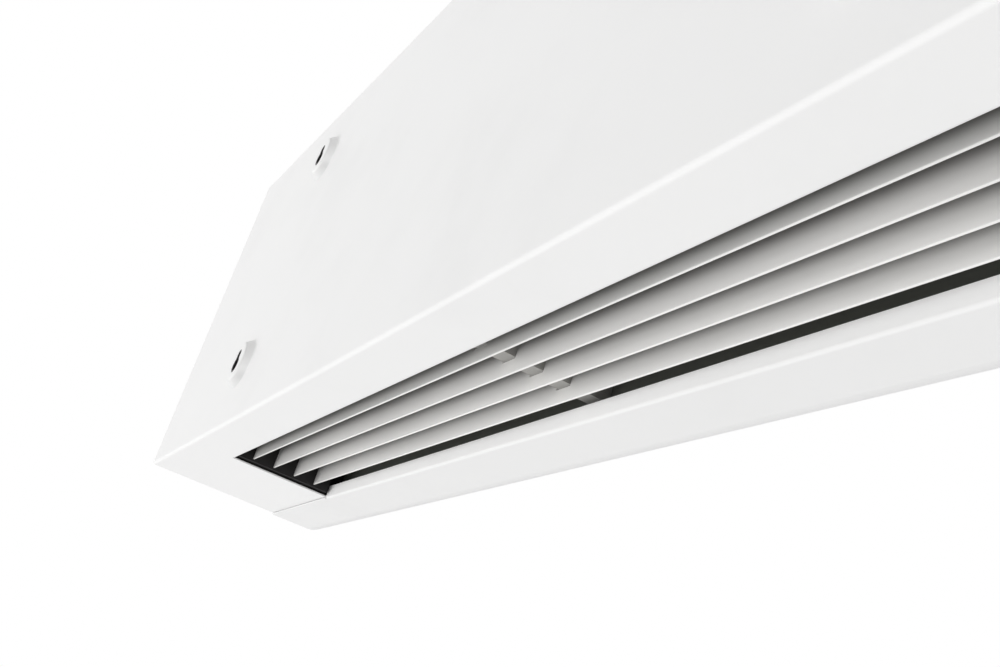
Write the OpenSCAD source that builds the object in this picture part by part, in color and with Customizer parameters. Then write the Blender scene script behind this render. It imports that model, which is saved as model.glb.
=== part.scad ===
// Wall-mounted air curtain for a doorway. A folded sheet-steel casing hangs on four pressed
// keyhole bosses, a hinged front cover carries the intake grille, a cross-flow fan turns in a
// curved duct, and four slats on pivots aim the air that leaves through the underside.
//
// Everything is placed in casing coordinates: x along the casing from its middle, v forward
// from the outer face of the back panel, w up from the outer face of the bottom plate.
// in_casing() turns them into the part's own frame, whose origin is the middle of the four
// keyholes on the plane of the wall, with Y towards the wall and Z up.

/* [Casing] */
// Length of the casing
casing_len = 1250; // [1180:10:1500]
// Height of the back panel
casing_h = 350; // [346:1:400]
// Depth from the back panel to the front face
casing_d = 205; // [202:1:230]
// Thickness of the folded sheet steel
sheet = 1.2; // [1:0.1:1.5]
// Outer radius of the folds of the casing
fold_r = 3; // [2.5:0.1:5]
// Thickness of the end panels
end_t = 1.5; // [1:0.1:2]
// How far an end panel sits inside the end of the casing
end_recess = 0.5; // [0.2:0.1:2]
// Width of the turned-in edge of an end panel
end_flange = 14; // [10:1:18]
// Gap between the casing and the cover that laps it
cover_gap = 0.8; // [0.7:0.1:1.5]

/* [Wall bosses] */
// Height of the pressed bosses, which rest on the wall
boss_h = 7; // [5:0.5:9]
// Diameter of a boss at its foot
boss_foot_d = 47; // [44:1:56]
// Diameter of a boss at its flat face
boss_face_d = 36; // [34:1:42]
// Radius of the bends of a boss
boss_bend_r = 3; // [2:0.5:4]
// Spacing of the keyholes along the casing
key_cols = 760; // [600:10:900]
// Spacing of the keyholes up the casing
key_rows = 224; // [180:1:240]
// Height of the lower round holes above the bottom plate
key_up = 59; // [50:1:64]
// Diameter of the round hole that the screw head enters
key_hole_d = 12; // [10:0.5:13]
// Width of the slot that the screw slides up
key_slot_w = 6; // [5:0.5:7]
// Rise from the round hole to the end of the slot
key_slot_rise = 10; // [8:0.5:13]
// Height of the middle of a boss above its round hole
key_offset = 4; // [2:0.5:6]

/* [Outlet] */
// Distance from each end of the casing to the outlet, which holds the motor or the electrics
end_bay = 162; // [160:1:190]
// Distance from the back panel to the outlet
outlet_back = 42.5; // [38:0.5:46]
// Width of the outlet, which ends at the seam of the cover
outlet_w = 97.5; // [94:0.5:104]
// Height of the turned-up edge at the back of the outlet
outlet_edge_h = 12; // [8:1:16]
// Radius of the small folds at the outlet
lip_r = 2.4; // [2:0.1:3]
// Height of the cover's turned-up lip above the bottom plate
lip_h = 11; // [9:0.5:12.5]
// How far the bottom plate runs forward above the cover's flange
plate_lap = 18; // [10:1:24]

/* [Slats] */
// Distance from the outlet's back edge to the first slat
slat_first = 16; // [14:0.5:18]
// Spacing of the slats
slat_pitch = 21.4; // [20:0.1:23]
// Thickness of a slat
slat_t = 1.6; // [1.2:0.1:2]
// Height of the slats' lower edge above the bottom plate
slat_recess = 5; // [4:0.5:8]
// Height of the slats' pivot above their lower edge
slat_reach = 27.5; // [26:0.5:30]
// Diameter of the hollow bead around the pivot
slat_bead_d = 4.8; // [4.4:0.1:5.4]
// Diameter of the pivot pins
slat_pin_d = 3; // [2.6:0.1:3.2]
// How far a pivot pin reaches into its slat
slat_pin_grip = 8; // [6:1:12]
// Gap between the end of a slat and its holder
slat_end_gap = 0.4; // [0.3:0.1:0.8]
// Thickness of the plastic holders at the ends of the slats
holder_t = 5; // [4:0.5:6]
// Height of the holders
holder_h = 40; // [39:1:48]
// Distance of the holders' base beyond the end of the outlet
holder_out = 5; // [3:0.5:8]
// How far the holders' inner blocks show inside the end of the outlet
holder_lap = 6; // [4:0.5:9]
// Width of the support bar that crosses the outlet
bar_w = 16; // [14:1:20]
// Height of the underside of the bar above the slats' lower edge
bar_up = 12; // [10:0.5:14]
// Height of the support bar
bar_h = 20; // [18:1:24]
// Gap between the bar and the notches of the slats
bar_gap = 1.3; // [1.2:0.1:1.6]

/* [Fan] */
// Diameter of the cross-flow rotor
fan_d = 120; // [116:1:122]
// Distance of the fan's axis from the front face
fan_in = 97; // [95:0.5:99]
// Height of the fan's axis above the bottom plate
fan_w = 212; // [208:1:214]
// Gap between the end of the rotor and the end plate of the duct
fan_end_gap = 9; // [8:0.5:12]
// Number of blades round the rotor
blade_count = 34; // [24:1:40]
// Depth of the ring of blades
blade_depth = 12; // [10:0.5:14]
// Thickness of a blade
blade_t = 1; // [0.8:0.1:1.4]
// Radius of the curve of a blade
blade_curve_r = 10; // [9:0.5:12]
// Number of rings that tie the blades, with the end discs
ring_count = 9; // [5:1:10]
// Thickness of the rings
ring_t = 1.6; // [1.2:0.1:2.5]
// Depth of the rings
ring_depth = 15; // [14.5:0.5:18]
// Diameter of the hubs
hub_d = 32; // [28:1:36]
// Diameter of the stub shafts
shaft_d = 12; // [10:1:12]

/* [Duct] */
// Thickness of the duct's sheets
duct_t = 1.2; // [1:0.1:1.5]
// Thickness of the duct's end plates
duct_end_t = 1.5; // [1.2:0.1:2]
// Gap between the rotor and the upper end of the curved rear wall
scroll_gap = 5; // [4:0.5:6]
// How much that gap grows down to the outlet
scroll_growth = 12; // [10:0.5:13]
// Gap between the rotor and the tongue at the front
tongue_gap = 6; // [5:0.5:8]
// Radius of the rounded tongue
tongue_r = 5; // [4:0.5:8]
// Clearance between the front wall of the duct and the cover's lip below it
tongue_foot_gap = 3.5; // [3:0.5:6]
// Distance from the seam of the cover to the front wall of the duct
pocket_d = 13; // [11:0.5:15]

/* [Intake] */
// Distance from each end of the outlet to the intake grille's opening
intake_inset = 11; // [10:1:60]
// Rise from the duct's tongue to the intake grille's opening
intake_rise = 34; // [32:1:50]
// Distance from the top of the casing to the opening
intake_drop = 32; // [30:1:36]
// Number of louvre blades
louvre_count = 8; // [6:1:9]
// Slope of the louvre blades
louvre_tilt = 35; // [25:1:40]
// Thickness of the grille's blades and walls
louvre_t = 1.5; // [1.2:0.1:2]
// Depth of the grille behind the front face
grille_depth = 15; // [14:0.5:16]
// Number of fields between the grille's upright webs
grille_fields = 6; // [4:1:8]
// Depth of the filter frame
filter_depth = 8; // [6:0.5:8.5]
// Width of the filter frame's rim
filter_rim = 8; // [6:0.5:10]
// Thickness of the filter mesh
filter_mesh_t = 1; // [0.8:0.1:2]

/* [Cover hinges] */
// Distance of the hinge axis from the back panel
hinge_v = 170; // [165:1:172]
// Length of a hinge
hinge_len = 60; // [40:2:80]
// Outer diameter of the knuckles
knuckle_d = 6; // [5.4:0.1:7]
// Diameter of the hinge pins
hinge_pin_d = 3; // [2.5:0.1:3.2]
// Width of a hinge leaf
leaf_w = 20; // [16:1:24]
// Thickness of a hinge leaf
leaf_t = 1.2; // [1:0.1:1.2]

/* [Motor] */
// Diameter of the motor
motor_d = 92; // [86:1:96]
// Gap between the motor and the edge of the end panel
motor_end_gap = 14; // [10:1:20]
// Diameter of the motor shaft
motor_shaft_d = 10; // [8:1:10]
// Side of the square motor bracket
bracket_side = 112; // [108:1:118]
// Thickness of the motor bracket
bracket_t = 2.5; // [2:0.1:3]
// Diameter of the rubber mounts
mount_d = 16; // [14:1:18]
// Length of the rubber mounts
mount_len = 32; // [30:1:34]
// Outer diameter of the shaft coupling
coupling_d = 30; // [26:1:32]
// Length of the shaft coupling
coupling_len = 24; // [22:1:26]

/* [Bearing] */
// Outer diameter of the ball bearing
bearing_d = 28; // [26:1:30]
// Width of the ball bearing
bearing_w = 8; // [7:0.5:9]
// Thickness of the rubber ring round the bearing
bearing_rubber_t = 5; // [4:0.5:6]
// Thickness of the pressed bearing housing
housing_t = 2; // [1.5:0.1:2.5]
// Diameter of the housing's flange
housing_flange_d = 78; // [74:1:84]

/* [Electrics] */
// Gap on both sides of the mounting tray
tray_side_gap = 9; // [7:0.5:12]
// Gap below and above the mounting tray
tray_end_gap = 70; // [60:1:75]
// Depth of the tray's side edges
tray_edge = 15; // [10:1:20]
// Number of ways of the terminal block
terminal_ways = 7; // [4:1:7]
// Width of one way of the terminal block
terminal_pitch = 11; // [10:0.5:11]
// Diameter of the run capacitor
capacitor_d = 36; // [32:1:38]
// Length of the run capacitor
capacitor_len = 70; // [60:1:74]
// Margin of the tray beside the circuit board
board_margin = 12; // [8:1:16]
// Height of the circuit board
board_h = 62; // [58:1:64]
// Diameter of the wiring loom
loom_d = 8; // [6:0.5:9]
// Diameter of the holes for the cable glands
gland_d = 20; // [18:0.5:20]
// Bore of a cable gland
gland_bore = 11; // [9:0.5:12]
// Spacing of the two cable glands
gland_pitch = 42; // [40:1:50]
// Core diameter of the threaded inserts in the top plate
insert_bore = 6.8; // [6.5:0.1:7]
// Distance of the inserts from the ends of the casing
insert_end = 45; // [38:1:50]
// Distance of the rear inserts from the back panel
insert_back = 35; // [30:1:40]
// Spacing of the inserts from back to front
insert_pitch = 90; // [80:1:100]

/* [Hidden] */
$fn = 64;

panel_white = [0.95, 0.95, 0.95];
slat_grey = [0.76, 0.76, 0.74];
zinc_grey = [0.62, 0.64, 0.66];
steel_grey = [0.5, 0.51, 0.53];
plastic_black = [0.07, 0.07, 0.07];
rubber_black = [0.12, 0.12, 0.12];
duct_dark = [0.16, 0.16, 0.16];
mesh_dark = [0.22, 0.23, 0.24];
nylon_white = [0.9, 0.9, 0.86];
board_green = [0.1, 0.38, 0.2];
brass_yellow = [0.78, 0.62, 0.3];

slack = 0.05;
eps = 0.01;
half_len = casing_len / 2;
outlet_len = casing_len - 2 * end_bay;
intake_len = outlet_len - 2 * intake_inset;

// The cover laps the casing by its own thickness and a gap.
cover_drop = cover_gap + sheet;
seam_v = outlet_back + outlet_w;
plate_front = seam_v + plate_lap;
lip_end_gap = 1;
cover_in = casing_d - sheet;

// Hinges on top of the casing.
axis_lift = 0.5;
axis_w = casing_h + axis_lift + knuckle_d / 2;
knuckle_gap = 0.3;
hinge_places = [-half_len * 0.72, 0, half_len * 0.72];
top_front = hinge_v + 10;
top_lip = 12;
cover_top_back = hinge_v + knuckle_d / 2 + 1;

// End panels, as shallow trays that open inwards.
end_out = half_len - end_recess;
end_in = end_out - end_t;
end_front = cover_in - 0.8;
end_corner_r = 20;
end_low = 0.2;

// Duct, slats and their holders.
holder_base = outlet_len / 2 + holder_out;
holder_in = outlet_len / 2 - holder_lap;
duct_half = holder_base + holder_t;
duct_outer = duct_half + duct_end_t;
slat_axis = slat_recess + slat_reach;
slat_half = holder_in - slat_end_gap;
bar_low = slat_recess + bar_up;
bar_t = 1.2;
duct_back = outlet_back + duct_t;
duct_front = seam_v + pocket_d;
fan_r = fan_d / 2;
fan_half = duct_half - fan_end_gap;
fan_v = casing_d - fan_in;
fan_c = [fan_v, fan_w];
duct_plate_front = cover_in - 8;
duct_plate_top_front = top_front - sheet - 2;
duct_foot = lip_h + tongue_foot_gap;

// Intake, grille and filter.
intake_high = casing_h - intake_drop;
intake_low = on_fan(fan_r + tongue_gap + 1, -35)[1] + intake_rise;
grille_lap = 9;
grille_back = cover_in - grille_depth;
filter_back = grille_back - filter_depth;

// Motor side, measured outwards from the duct's left end plate.
mount_end = duct_outer + mount_len;
motor_face = mount_end + bracket_t;
motor_len = end_in - end_flange - motor_end_gap - motor_face;
motor_spigot = 3;
motor_box_h = motor_d / 2 + 5;
coupling_start = duct_outer + 3;
shaft_meet = coupling_start + coupling_len / 2;

// Control tray on the back panel.
duct_flange = 12;
tray_left = duct_outer + duct_flange + tray_side_gap - 6;
tray_right = end_in - end_flange - tray_side_gap;
tray_w = tray_right - tray_left;
tray_x = (tray_left + tray_right) / 2;
tray_low = tray_end_gap;
tray_h = casing_h - 2 * tray_end_gap;
board_len = tray_w - 2 * board_margin;
tray_face = 2 * sheet;
loom_v = sheet + 12;
loom_w = casing_h - 40;

// ---------------------------------------------------------------- geometry helpers

module in_casing() {
    translate([0, -boss_h, -key_rows / 2 - key_up])
        mirror([0, 1, 0])
            children();
}

// Extrudes an outline drawn in v and w from x0 to x1.
module along_x(x0, x1) {
    translate([x0, 0, 0])
        rotate([90, 0, 90])
            linear_extrude(x1 - x0)
                children();
}

module block(low, high) {
    translate(low)
        cube(high - low);
}

module rod_x(x0, x1, d, at) {
    translate([x0, at[0], at[1]])
        rotate([0, 90, 0])
            cylinder(h = x1 - x0, d = d);
}

module rod_v(v0, v1, d, x, w) {
    translate([x, v0, w])
        rotate([-90, 0, 0])
            cylinder(h = v1 - v0, d = d);
}

module rod_w(w0, w1, d, x, v) {
    translate([x, v, w0])
        cylinder(h = w1 - w0, d = d);
}

// Revolves an outline of [radius, reach] points about the fan's axis, from x outwards.
module turned_x(x, side) {
    translate([side * x, fan_v, fan_w])
        rotate([0, side * 90, 0])
            rotate_extrude()
                children();
}

function unit(a) = a / norm(a);
function left_of(d) = [-d[1], d[0]];
function flat(p) = [p[0], p[1]];
function leg(path, i) = unit(flat(path[i + 1]) - flat(path[i]));
function turn(path, i) =
    let (a = leg(path, i - 1), b = leg(path, i))
    atan2(a[0] * b[1] - a[1] * b[0], a * b);
function setback(path, i) =
    i == 0 || i == len(path) - 1 ? 0 : path[i][2] * tan(abs(turn(path, i)) / 2);

// One bend of a folded sheet: the part of a ring between its two straight legs.
module bend(path, i, t) {
    d = leg(path, i - 1);
    s = sign(turn(path, i));
    r = path[i][2];
    from = -s * left_of(d);
    to = -s * left_of(leg(path, i));
    far = 2 * (r + t);
    translate(flat(path[i]) - setback(path, i) * d + s * r * left_of(d))
        intersection() {
            difference() {
                circle(s > 0 ? r : r + t);
                circle(s > 0 ? r - t : r);
            }
            polygon([[0, 0], far * from, far * (from + to), far * to]);
        }
}

// Section of a sheet folded along a path of [v, w, bend radius], lying to the path's left.
// A sloping leg runs a little way into its bends, a hair thinner, so that the two join solidly.
module folded_sheet(path, t) {
    for (i = [0 : len(path) - 2]) {
        d = leg(path, i);
        n = left_of(d);
        skew = abs(d[0] * d[1]) > eps;
        hair = skew ? 0.005 : 0;
        a = flat(path[i]) + (setback(path, i) - (skew && i > 0 ? 0.1 : 0)) * d;
        b = flat(path[i + 1]) - (setback(path, i + 1) - (skew && i < len(path) - 2 ? 0.1 : 0)) * d;
        polygon([a + hair * n, b + hair * n, b + (t - hair) * n, a + (t - hair) * n]);
    }
    for (i = [1 : len(path) - 2])
        bend(path, i, t);
}

// ---------------------------------------------------------------- casing

shell_path = [[top_front, casing_h - top_lip, 0], [top_front, casing_h, fold_r],
    [0, casing_h, fold_r], [0, 0, fold_r], [plate_front, 0, 0]];
outlet_edge_path = [[outlet_back - 2 * lip_r, 0, 0], [outlet_back, 0, lip_r],
    [outlet_back, outlet_edge_h, 0]];

function key_places() = [for (x = [-key_cols / 2, key_cols / 2], w = [key_up, key_up + key_rows])
    [x, w]];
function insert_places() = [for (s = [-1, 1], v = [insert_back, insert_back + insert_pitch])
    [s * (half_len - insert_end), v]];
function gland_places() = [for (i = [0, 1]) [tray_x, insert_back + 12 + i * gland_pitch]];
function end_screw_places() = [for (s = [-1, 1], v = [30, 140])
    [s * (end_in - end_flange / 2), v]];

// A round boss pressed outwards from the back panel, about the v axis.
module boss() {
    run = (boss_foot_d - boss_face_d) / 2;
    foot = boss_foot_d / 2;
    rim = 2 * boss_bend_r;
    rotate([90, 0, 0])
        rotate_extrude()
            folded_sheet([[foot + rim, 0, 0], [foot, 0, boss_bend_r],
                [foot - run, boss_h, boss_bend_r], [0, boss_h, 0]], sheet);
}

module keyhole_cut(x, w) {
    rod_v(-boss_h - 1, 1, key_hole_d, x, w);
    rod_v(-boss_h - 1, 1, key_slot_w, x, w + key_slot_rise);
    block([x - key_slot_w / 2, -boss_h - 1, w], [x + key_slot_w / 2, 1, w + key_slot_rise]);
}

module back_shell() {
    color(panel_white) in_casing() difference() {
        union() {
            difference() {
                along_x(-half_len, half_len) folded_sheet(shell_path, sheet);
                block([-outlet_len / 2, outlet_back - 2 * lip_r, -1],
                    [outlet_len / 2, plate_front + 1, sheet + 1]);
                for (k = key_places())
                    rod_v(-1, sheet + 1, boss_foot_d + 4 * boss_bend_r, k[0], k[1] + key_offset);
            }
            along_x(-outlet_len / 2, outlet_len / 2) folded_sheet(outlet_edge_path, sheet);
            for (k = key_places())
                translate([k[0], 0, k[1] + key_offset]) boss();
        }
        for (k = key_places())
            keyhole_cut(k[0], k[1]);
        for (s = [0, 1]) mirror([s, 0, 0])
            block([end_in - end_flange - 0.5, top_front - fold_r, casing_h - top_lip - 1],
                [half_len + 1, top_front + 1, casing_h - sheet]);
        for (p = gland_places())
            rod_w(casing_h - 5, casing_h + 5, gland_d, p[0], p[1]);
        for (p = insert_places())
            rod_w(casing_h - 5, casing_h + 5, insert_body_d, p[0], p[1]);
        for (p = end_screw_places())
            rod_w(casing_h - 5, casing_h + 5, 4, p[0], p[1]);
    }
}

// Outline of an end panel, drawn in from its edge by inset. In front of the shell's edges it
// fills the space up to the cover's flanges.
module end_outline(inset) {
    r = end_corner_r - inset;
    back = sheet + inset;
    back_r = fold_r - sheet + 0.3 - inset;
    front = end_front - inset;
    low = end_low + inset;
    translate([back + back_r, back]) square([front - back - back_r - r, casing_h - 2 * back]);
    translate([back, back + back_r]) square([back_r + 1, casing_h - 2 * (back + back_r)]);
    for (w = [back + back_r, casing_h - back - back_r])
        translate([back + back_r, w]) circle(back_r);
    translate([plate_front + 0.6 + inset, low])
        square([front - r - plate_front - 0.6 - inset, casing_h / 2]);
    translate([front - r, low + r]) square([r, casing_h / 2]);
    translate([top_front + 0.6 + inset, casing_h / 2])
        square([front - top_front - 0.6 - inset, casing_h / 2 - low]);
    intersection() {
        translate([front - r, low + r]) circle(r);
        translate([front - r, low]) square(r + 1);
    }
}

module end_panel(side) {
    color(panel_white) in_casing() mirror([side > 0 ? 0 : 1, 0, 0]) difference() {
        along_x(end_in - end_flange, end_out) end_outline(0);
        along_x(end_in - end_flange - 1, end_in) end_outline(end_t);
        for (p = end_screw_places())
            rod_w(casing_h - 8, casing_h, 4, abs(p[0]), p[1]);
        rod_v(end_front - 6, end_front + 1, cover_screw_d + 1.6, cover_screw_x, cover_screw_w);
    }
}

module end_panel_left() { end_panel(-1); }
module end_panel_right() { end_panel(1); }

module end_panel_screws() {
    color(steel_grey) in_casing()
        for (p = end_screw_places()) {
            rod_w(casing_h - 9, casing_h, 4, p[0], p[1]);
            difference() {
                rod_w(casing_h, casing_h + 2.2, 8, p[0], p[1]);
                block([p[0] - 2.6, p[1] - 0.5, casing_h + 1.2], [p[0] + 2.6, p[1] + 0.5, casing_h + 3]);
                block([p[0] - 0.5, p[1] - 2.6, casing_h + 1.2], [p[0] + 0.5, p[1] + 2.6, casing_h + 3]);
            }
        }
}

// Threaded inserts in the top plate, for hanging rods.
insert_body_d = 11;
insert_flange_d = 15;

module threaded_inserts() {
    color(zinc_grey) in_casing()
        for (p = insert_places())
            difference() {
                union() {
                    rod_w(casing_h, casing_h + 1.2, insert_flange_d, p[0], p[1]);
                    rod_w(casing_h - 15, casing_h, insert_body_d, p[0], p[1]);
                    rod_w(casing_h - sheet - 4, casing_h - sheet, insert_body_d + 2.4, p[0], p[1]);
                }
                rod_w(casing_h - 16, casing_h + 2, insert_bore, p[0], p[1]);
            }
}

// ---------------------------------------------------------------- cover and its hinges

cover_top = casing_h + cover_drop;
cover_path = [[seam_v + 2 * lip_r, -cover_drop, 0], [casing_d, -cover_drop, 22],
    [casing_d, cover_top, fold_r], [cover_top_back, cover_top, 0]];
lip_path = [[seam_v, lip_h, 0], [seam_v, -cover_drop, lip_r],
    [seam_v + 2 * lip_r, -cover_drop, 0]];
lip_half = outlet_len / 2 - lip_end_gap;
lip_slant = 1.5;
cover_screw_d = 4;
cover_screw_x = end_in - end_flange / 2;
cover_screw_w = 40;

module front_cover() {
    color(panel_white) in_casing() difference() {
        union() {
            along_x(-half_len, half_len) folded_sheet(cover_path, sheet);
            along_x(-lip_half, lip_half) folded_sheet(lip_path, sheet);
            for (s = [-1, 1]) mirror([s > 0 ? 0 : 1, 0, 0])
                block([lip_half, seam_v, -cover_drop],
                    [half_len, seam_v + 2 * lip_r, -cover_drop + sheet]);
        }
        block([-intake_len / 2, cover_in - 1, intake_low], [intake_len / 2, casing_d + 1, intake_high]);
        for (s = [0, 1]) mirror([s, 0, 0])
            translate([lip_half, seam_v - 1, lip_h]) rotate([-90, 0, 0]) linear_extrude(sheet + 2)
                polygon([[-lip_slant, -1], [1, -1], [1, lip_slant * 0.6], [0, lip_slant * 0.6],
                    [-lip_slant, 0]]);
        for (s = [-1, 1])
            rod_v(cover_in - 1, casing_d + 1, cover_screw_d, s * cover_screw_x, cover_screw_w);
    }
}

module cover_screws() {
    color(steel_grey) in_casing()
        for (s = [-1, 1]) {
            rod_v(end_front - 5, casing_d, cover_screw_d, s * cover_screw_x, cover_screw_w);
            difference() {
                rod_v(casing_d, casing_d + 2.4, 9, s * cover_screw_x, cover_screw_w);
                translate([s * cover_screw_x, casing_d + 1, cover_screw_w])
                    rotate([-90, 0, 0]) cylinder(h = 3, d = 4, $fn = 6);
            }
        }
}

module knuckle(x0, x1) {
    rod_x(x0, x1, knuckle_d, [hinge_v, axis_w]);
}

module hinge_bore(d) {
    rod_x(-casing_len, casing_len, d, [hinge_v, axis_w]);
}

module hinge_leaves_fixed() {
    color(panel_white) in_casing() difference() {
        for (x = hinge_places) {
            block([x - hinge_len / 2, hinge_v - leaf_w, casing_h],
                [x + hinge_len / 2, hinge_v - knuckle_d / 2 - 0.4, casing_h + leaf_t]);
            for (s = [-1, 1]) {
                a = x + s * hinge_len / 6 + s * knuckle_gap / 2;
                b = x + s * hinge_len / 2;
                block([min(a, b), hinge_v - knuckle_d / 2 - 1, casing_h],
                    [max(a, b), hinge_v, casing_h + leaf_t]);
                knuckle(min(a, b), max(a, b));
            }
        }
        hinge_bore(hinge_pin_d);
        for (x = hinge_places, s = [-1, 1])
            rod_w(casing_h - 1, casing_h + 4, 3.2, x + s * hinge_len / 3, hinge_v - leaf_w * 0.6);
    }
}

module hinge_leaves_moving() {
    color(panel_white) in_casing() difference() {
        for (x = hinge_places) {
            block([x - hinge_len / 2, hinge_v + knuckle_d / 2 + 0.4, cover_top],
                [x + hinge_len / 2, hinge_v + leaf_w, cover_top + leaf_t]);
            block([x - hinge_len / 6 + knuckle_gap / 2, hinge_v + hinge_pin_d / 2 + 0.4, cover_top],
                [x + hinge_len / 6 - knuckle_gap / 2, hinge_v + knuckle_d / 2 + 1, cover_top + leaf_t]);
            knuckle(x - hinge_len / 6 + knuckle_gap / 2, x + hinge_len / 6 - knuckle_gap / 2);
        }
        hinge_bore(hinge_pin_d + 2 * slack);
        for (x = hinge_places, s = [-1, 1])
            rod_w(cover_top - 1, cover_top + 4, 3.2, x + s * hinge_len / 3, hinge_v + leaf_w * 0.6);
    }
}

module hinge_pins() {
    color(steel_grey) in_casing()
        for (x = hinge_places)
            rod_x(x - hinge_len / 2 - 0.5, x + hinge_len / 2 + 0.5, hinge_pin_d, [hinge_v, axis_w]);
}

// ---------------------------------------------------------------- intake grille and filter

module louvre(w) {
    deep = grille_depth - 3;
    rise = deep * tan(louvre_tilt);
    front = casing_d - 0.4;
    polygon([[front, w], [front, w + louvre_t], [front - deep, w + louvre_t + rise],
        [front - deep, w + rise]]);
}

module intake_grille() {
    gap = 0.4;
    left = -intake_len / 2 + gap;
    low = intake_low + gap;
    high = intake_high - gap;
    pitch = (high - low - 2 * louvre_t) / louvre_count;
    color(panel_white) in_casing() {
        difference() {
            union() {
                block([left - grille_lap, cover_in - louvre_t, low - grille_lap],
                    [-left + grille_lap, cover_in, high + grille_lap]);
                block([left, grille_back, low], [-left, casing_d - 0.4, high]);
            }
            block([left + louvre_t, grille_back - 1, low + louvre_t],
                [-left - louvre_t, casing_d + 1, high - louvre_t]);
        }
        intersection() {
            along_x(left, -left)
                for (i = [0 : louvre_count - 1])
                    louvre(low + louvre_t / 2 + i * pitch);
            block([left, grille_back, low + louvre_t / 2], [-left, casing_d, high - louvre_t / 2]);
        }
        for (i = [1 : grille_fields - 1])
            translate([left + i * (intake_len - 2 * gap) / grille_fields, 0, 0])
                block([-louvre_t / 2, grille_back, low + louvre_t / 2],
                    [louvre_t / 2, casing_d - 2.4, high - louvre_t / 2]);
    }
}

filter_half = intake_len / 2 - 2;

module filter_frame() {
    low = intake_low + 2;
    high = intake_high - 2;
    color(plastic_black) in_casing() {
        difference() {
            block([-filter_half, filter_back, low], [filter_half, grille_back, high]);
            block([-filter_half + filter_rim, filter_back - 1, low + filter_rim],
                [filter_half - filter_rim, grille_back + 1, high - filter_rim]);
            filter_slot();
        }
        for (i = [1 : 2 * grille_fields - 1])
            translate([-filter_half + i * filter_half / grille_fields, 0, 0])
                block([-1.25, filter_back + filter_depth / 2 + filter_mesh_t / 2, low + filter_rim - eps],
                    [1.25, grille_back, high - filter_rim + eps]);
    }
}

module filter_slot() {
    mid = filter_back + filter_depth / 2;
    block([-filter_half + 2, mid - filter_mesh_t / 2, intake_low + 4],
        [filter_half - 2, mid + filter_mesh_t / 2, intake_high - 4]);
}

module filter_mesh() {
    color(mesh_dark) in_casing() filter_slot();
}

// Spring clips on the inside of the cover that hold the filter frame.
module filter_clips() {
    t = 1;
    reach = grille_lap + 1;
    color(zinc_grey) in_casing()
        for (x = [-0.36, 0, 0.36] * intake_len, up = [0, 1])
            translate([x, 0, up ? intake_high : intake_low])
                mirror([0, 0, up ? 0 : 1])
                    along_x(-9, 9)
                        polygon([[cover_in, reach + 9], [cover_in, reach],
                            [filter_back, reach], [filter_back, -7], [filter_back - t, -7],
                            [filter_back - t, reach + t], [cover_in - t, reach + t],
                            [cover_in - t, reach + 9]]);
}

// ---------------------------------------------------------------- duct

// The curved rear wall follows the rotor at a gap that grows towards the outlet.
function on_fan(r, a) = fan_c + r * [cos(a), sin(a)];
scroll_end = on_fan(fan_r + scroll_gap, 112);
scroll_mid = on_fan((fan_r + scroll_gap + scroll_growth * 0.3) / cos(20), 135);
scroll_low = on_fan((fan_r + scroll_gap + scroll_growth * 0.8) / cos(20), 175);
scroll_straight = slat_recess + bar_up + bar_h + 6;
scroll_path = [[duct_back, 3, 0], [duct_back, scroll_straight, 60],
    [scroll_low[0], scroll_low[1], 70], [scroll_mid[0], scroll_mid[1], 60],
    [scroll_end[0], scroll_end[1], 4], [scroll_end[0] + 1, scroll_end[1] + 18, 0]];

module scroll_rear_wall() {
    color(zinc_grey) in_casing()
        along_x(-duct_half, duct_half) folded_sheet(scroll_path, duct_t);
}

// The front wall ends above in a tongue close to the rotor.
tongue = on_fan(fan_r + tongue_gap + 1, -35);
front_path = [[duct_plate_front, tongue[1] + 12, 0], [tongue[0], tongue[1], tongue_r],
    [duct_front, scroll_straight + 44, 30], [duct_front, duct_foot, lip_r],
    [duct_front + 16, duct_foot, 0]];

module duct_front_wall() {
    color(duct_dark) in_casing()
        along_x(-duct_half, duct_half) folded_sheet(front_path, duct_t);
}

module duct_plate_outline() {
    top = casing_h - sheet;
    polygon([[sheet, sheet + 2], [sheet + 2, sheet], [plate_front, sheet], [plate_front, duct_foot],
        [duct_plate_front, duct_foot + 10], [duct_plate_front, top - 24],
        [duct_plate_top_front, top - 12], [duct_plate_top_front, top], [sheet + 2, top],
        [sheet, top - 2]]);
}

module duct_end_plate(side, hole_d, fixings, fixing_d) {
    top = casing_h - sheet;
    color(zinc_grey) in_casing() mirror([side > 0 ? 0 : 1, 0, 0]) difference() {
        union() {
            along_x(duct_half, duct_outer) duct_plate_outline();
            block([duct_half, sheet, 12], [duct_outer + duct_flange, sheet + duct_end_t, top - 12]);
            block([duct_half, 12, top - duct_end_t], [duct_outer + duct_flange, plate_front - 10, top]);
            block([duct_half, 12, sheet], [duct_outer + duct_flange, plate_front - 10, sheet + duct_end_t]);
        }
        rod_x(duct_half - 1, duct_outer + 1, hole_d, fan_c);
        rod_x(duct_half - 1, duct_outer + 1, grommet_d, [loom_v, loom_w]);
        for (p = fixings)
            rod_x(duct_half - 1, duct_outer + 1, fixing_d, p);
    }
}

module duct_end_plate_left() { duct_end_plate(-1, coupling_d + 6, mount_places(), 5); }
module duct_end_plate_right() { duct_end_plate(1, bearing_d + 4, bearing_screw_places(), 4); }

// ---------------------------------------------------------------- slats

function slat_v(n) = outlet_back + slat_first + (n - 1) * slat_pitch;

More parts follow.
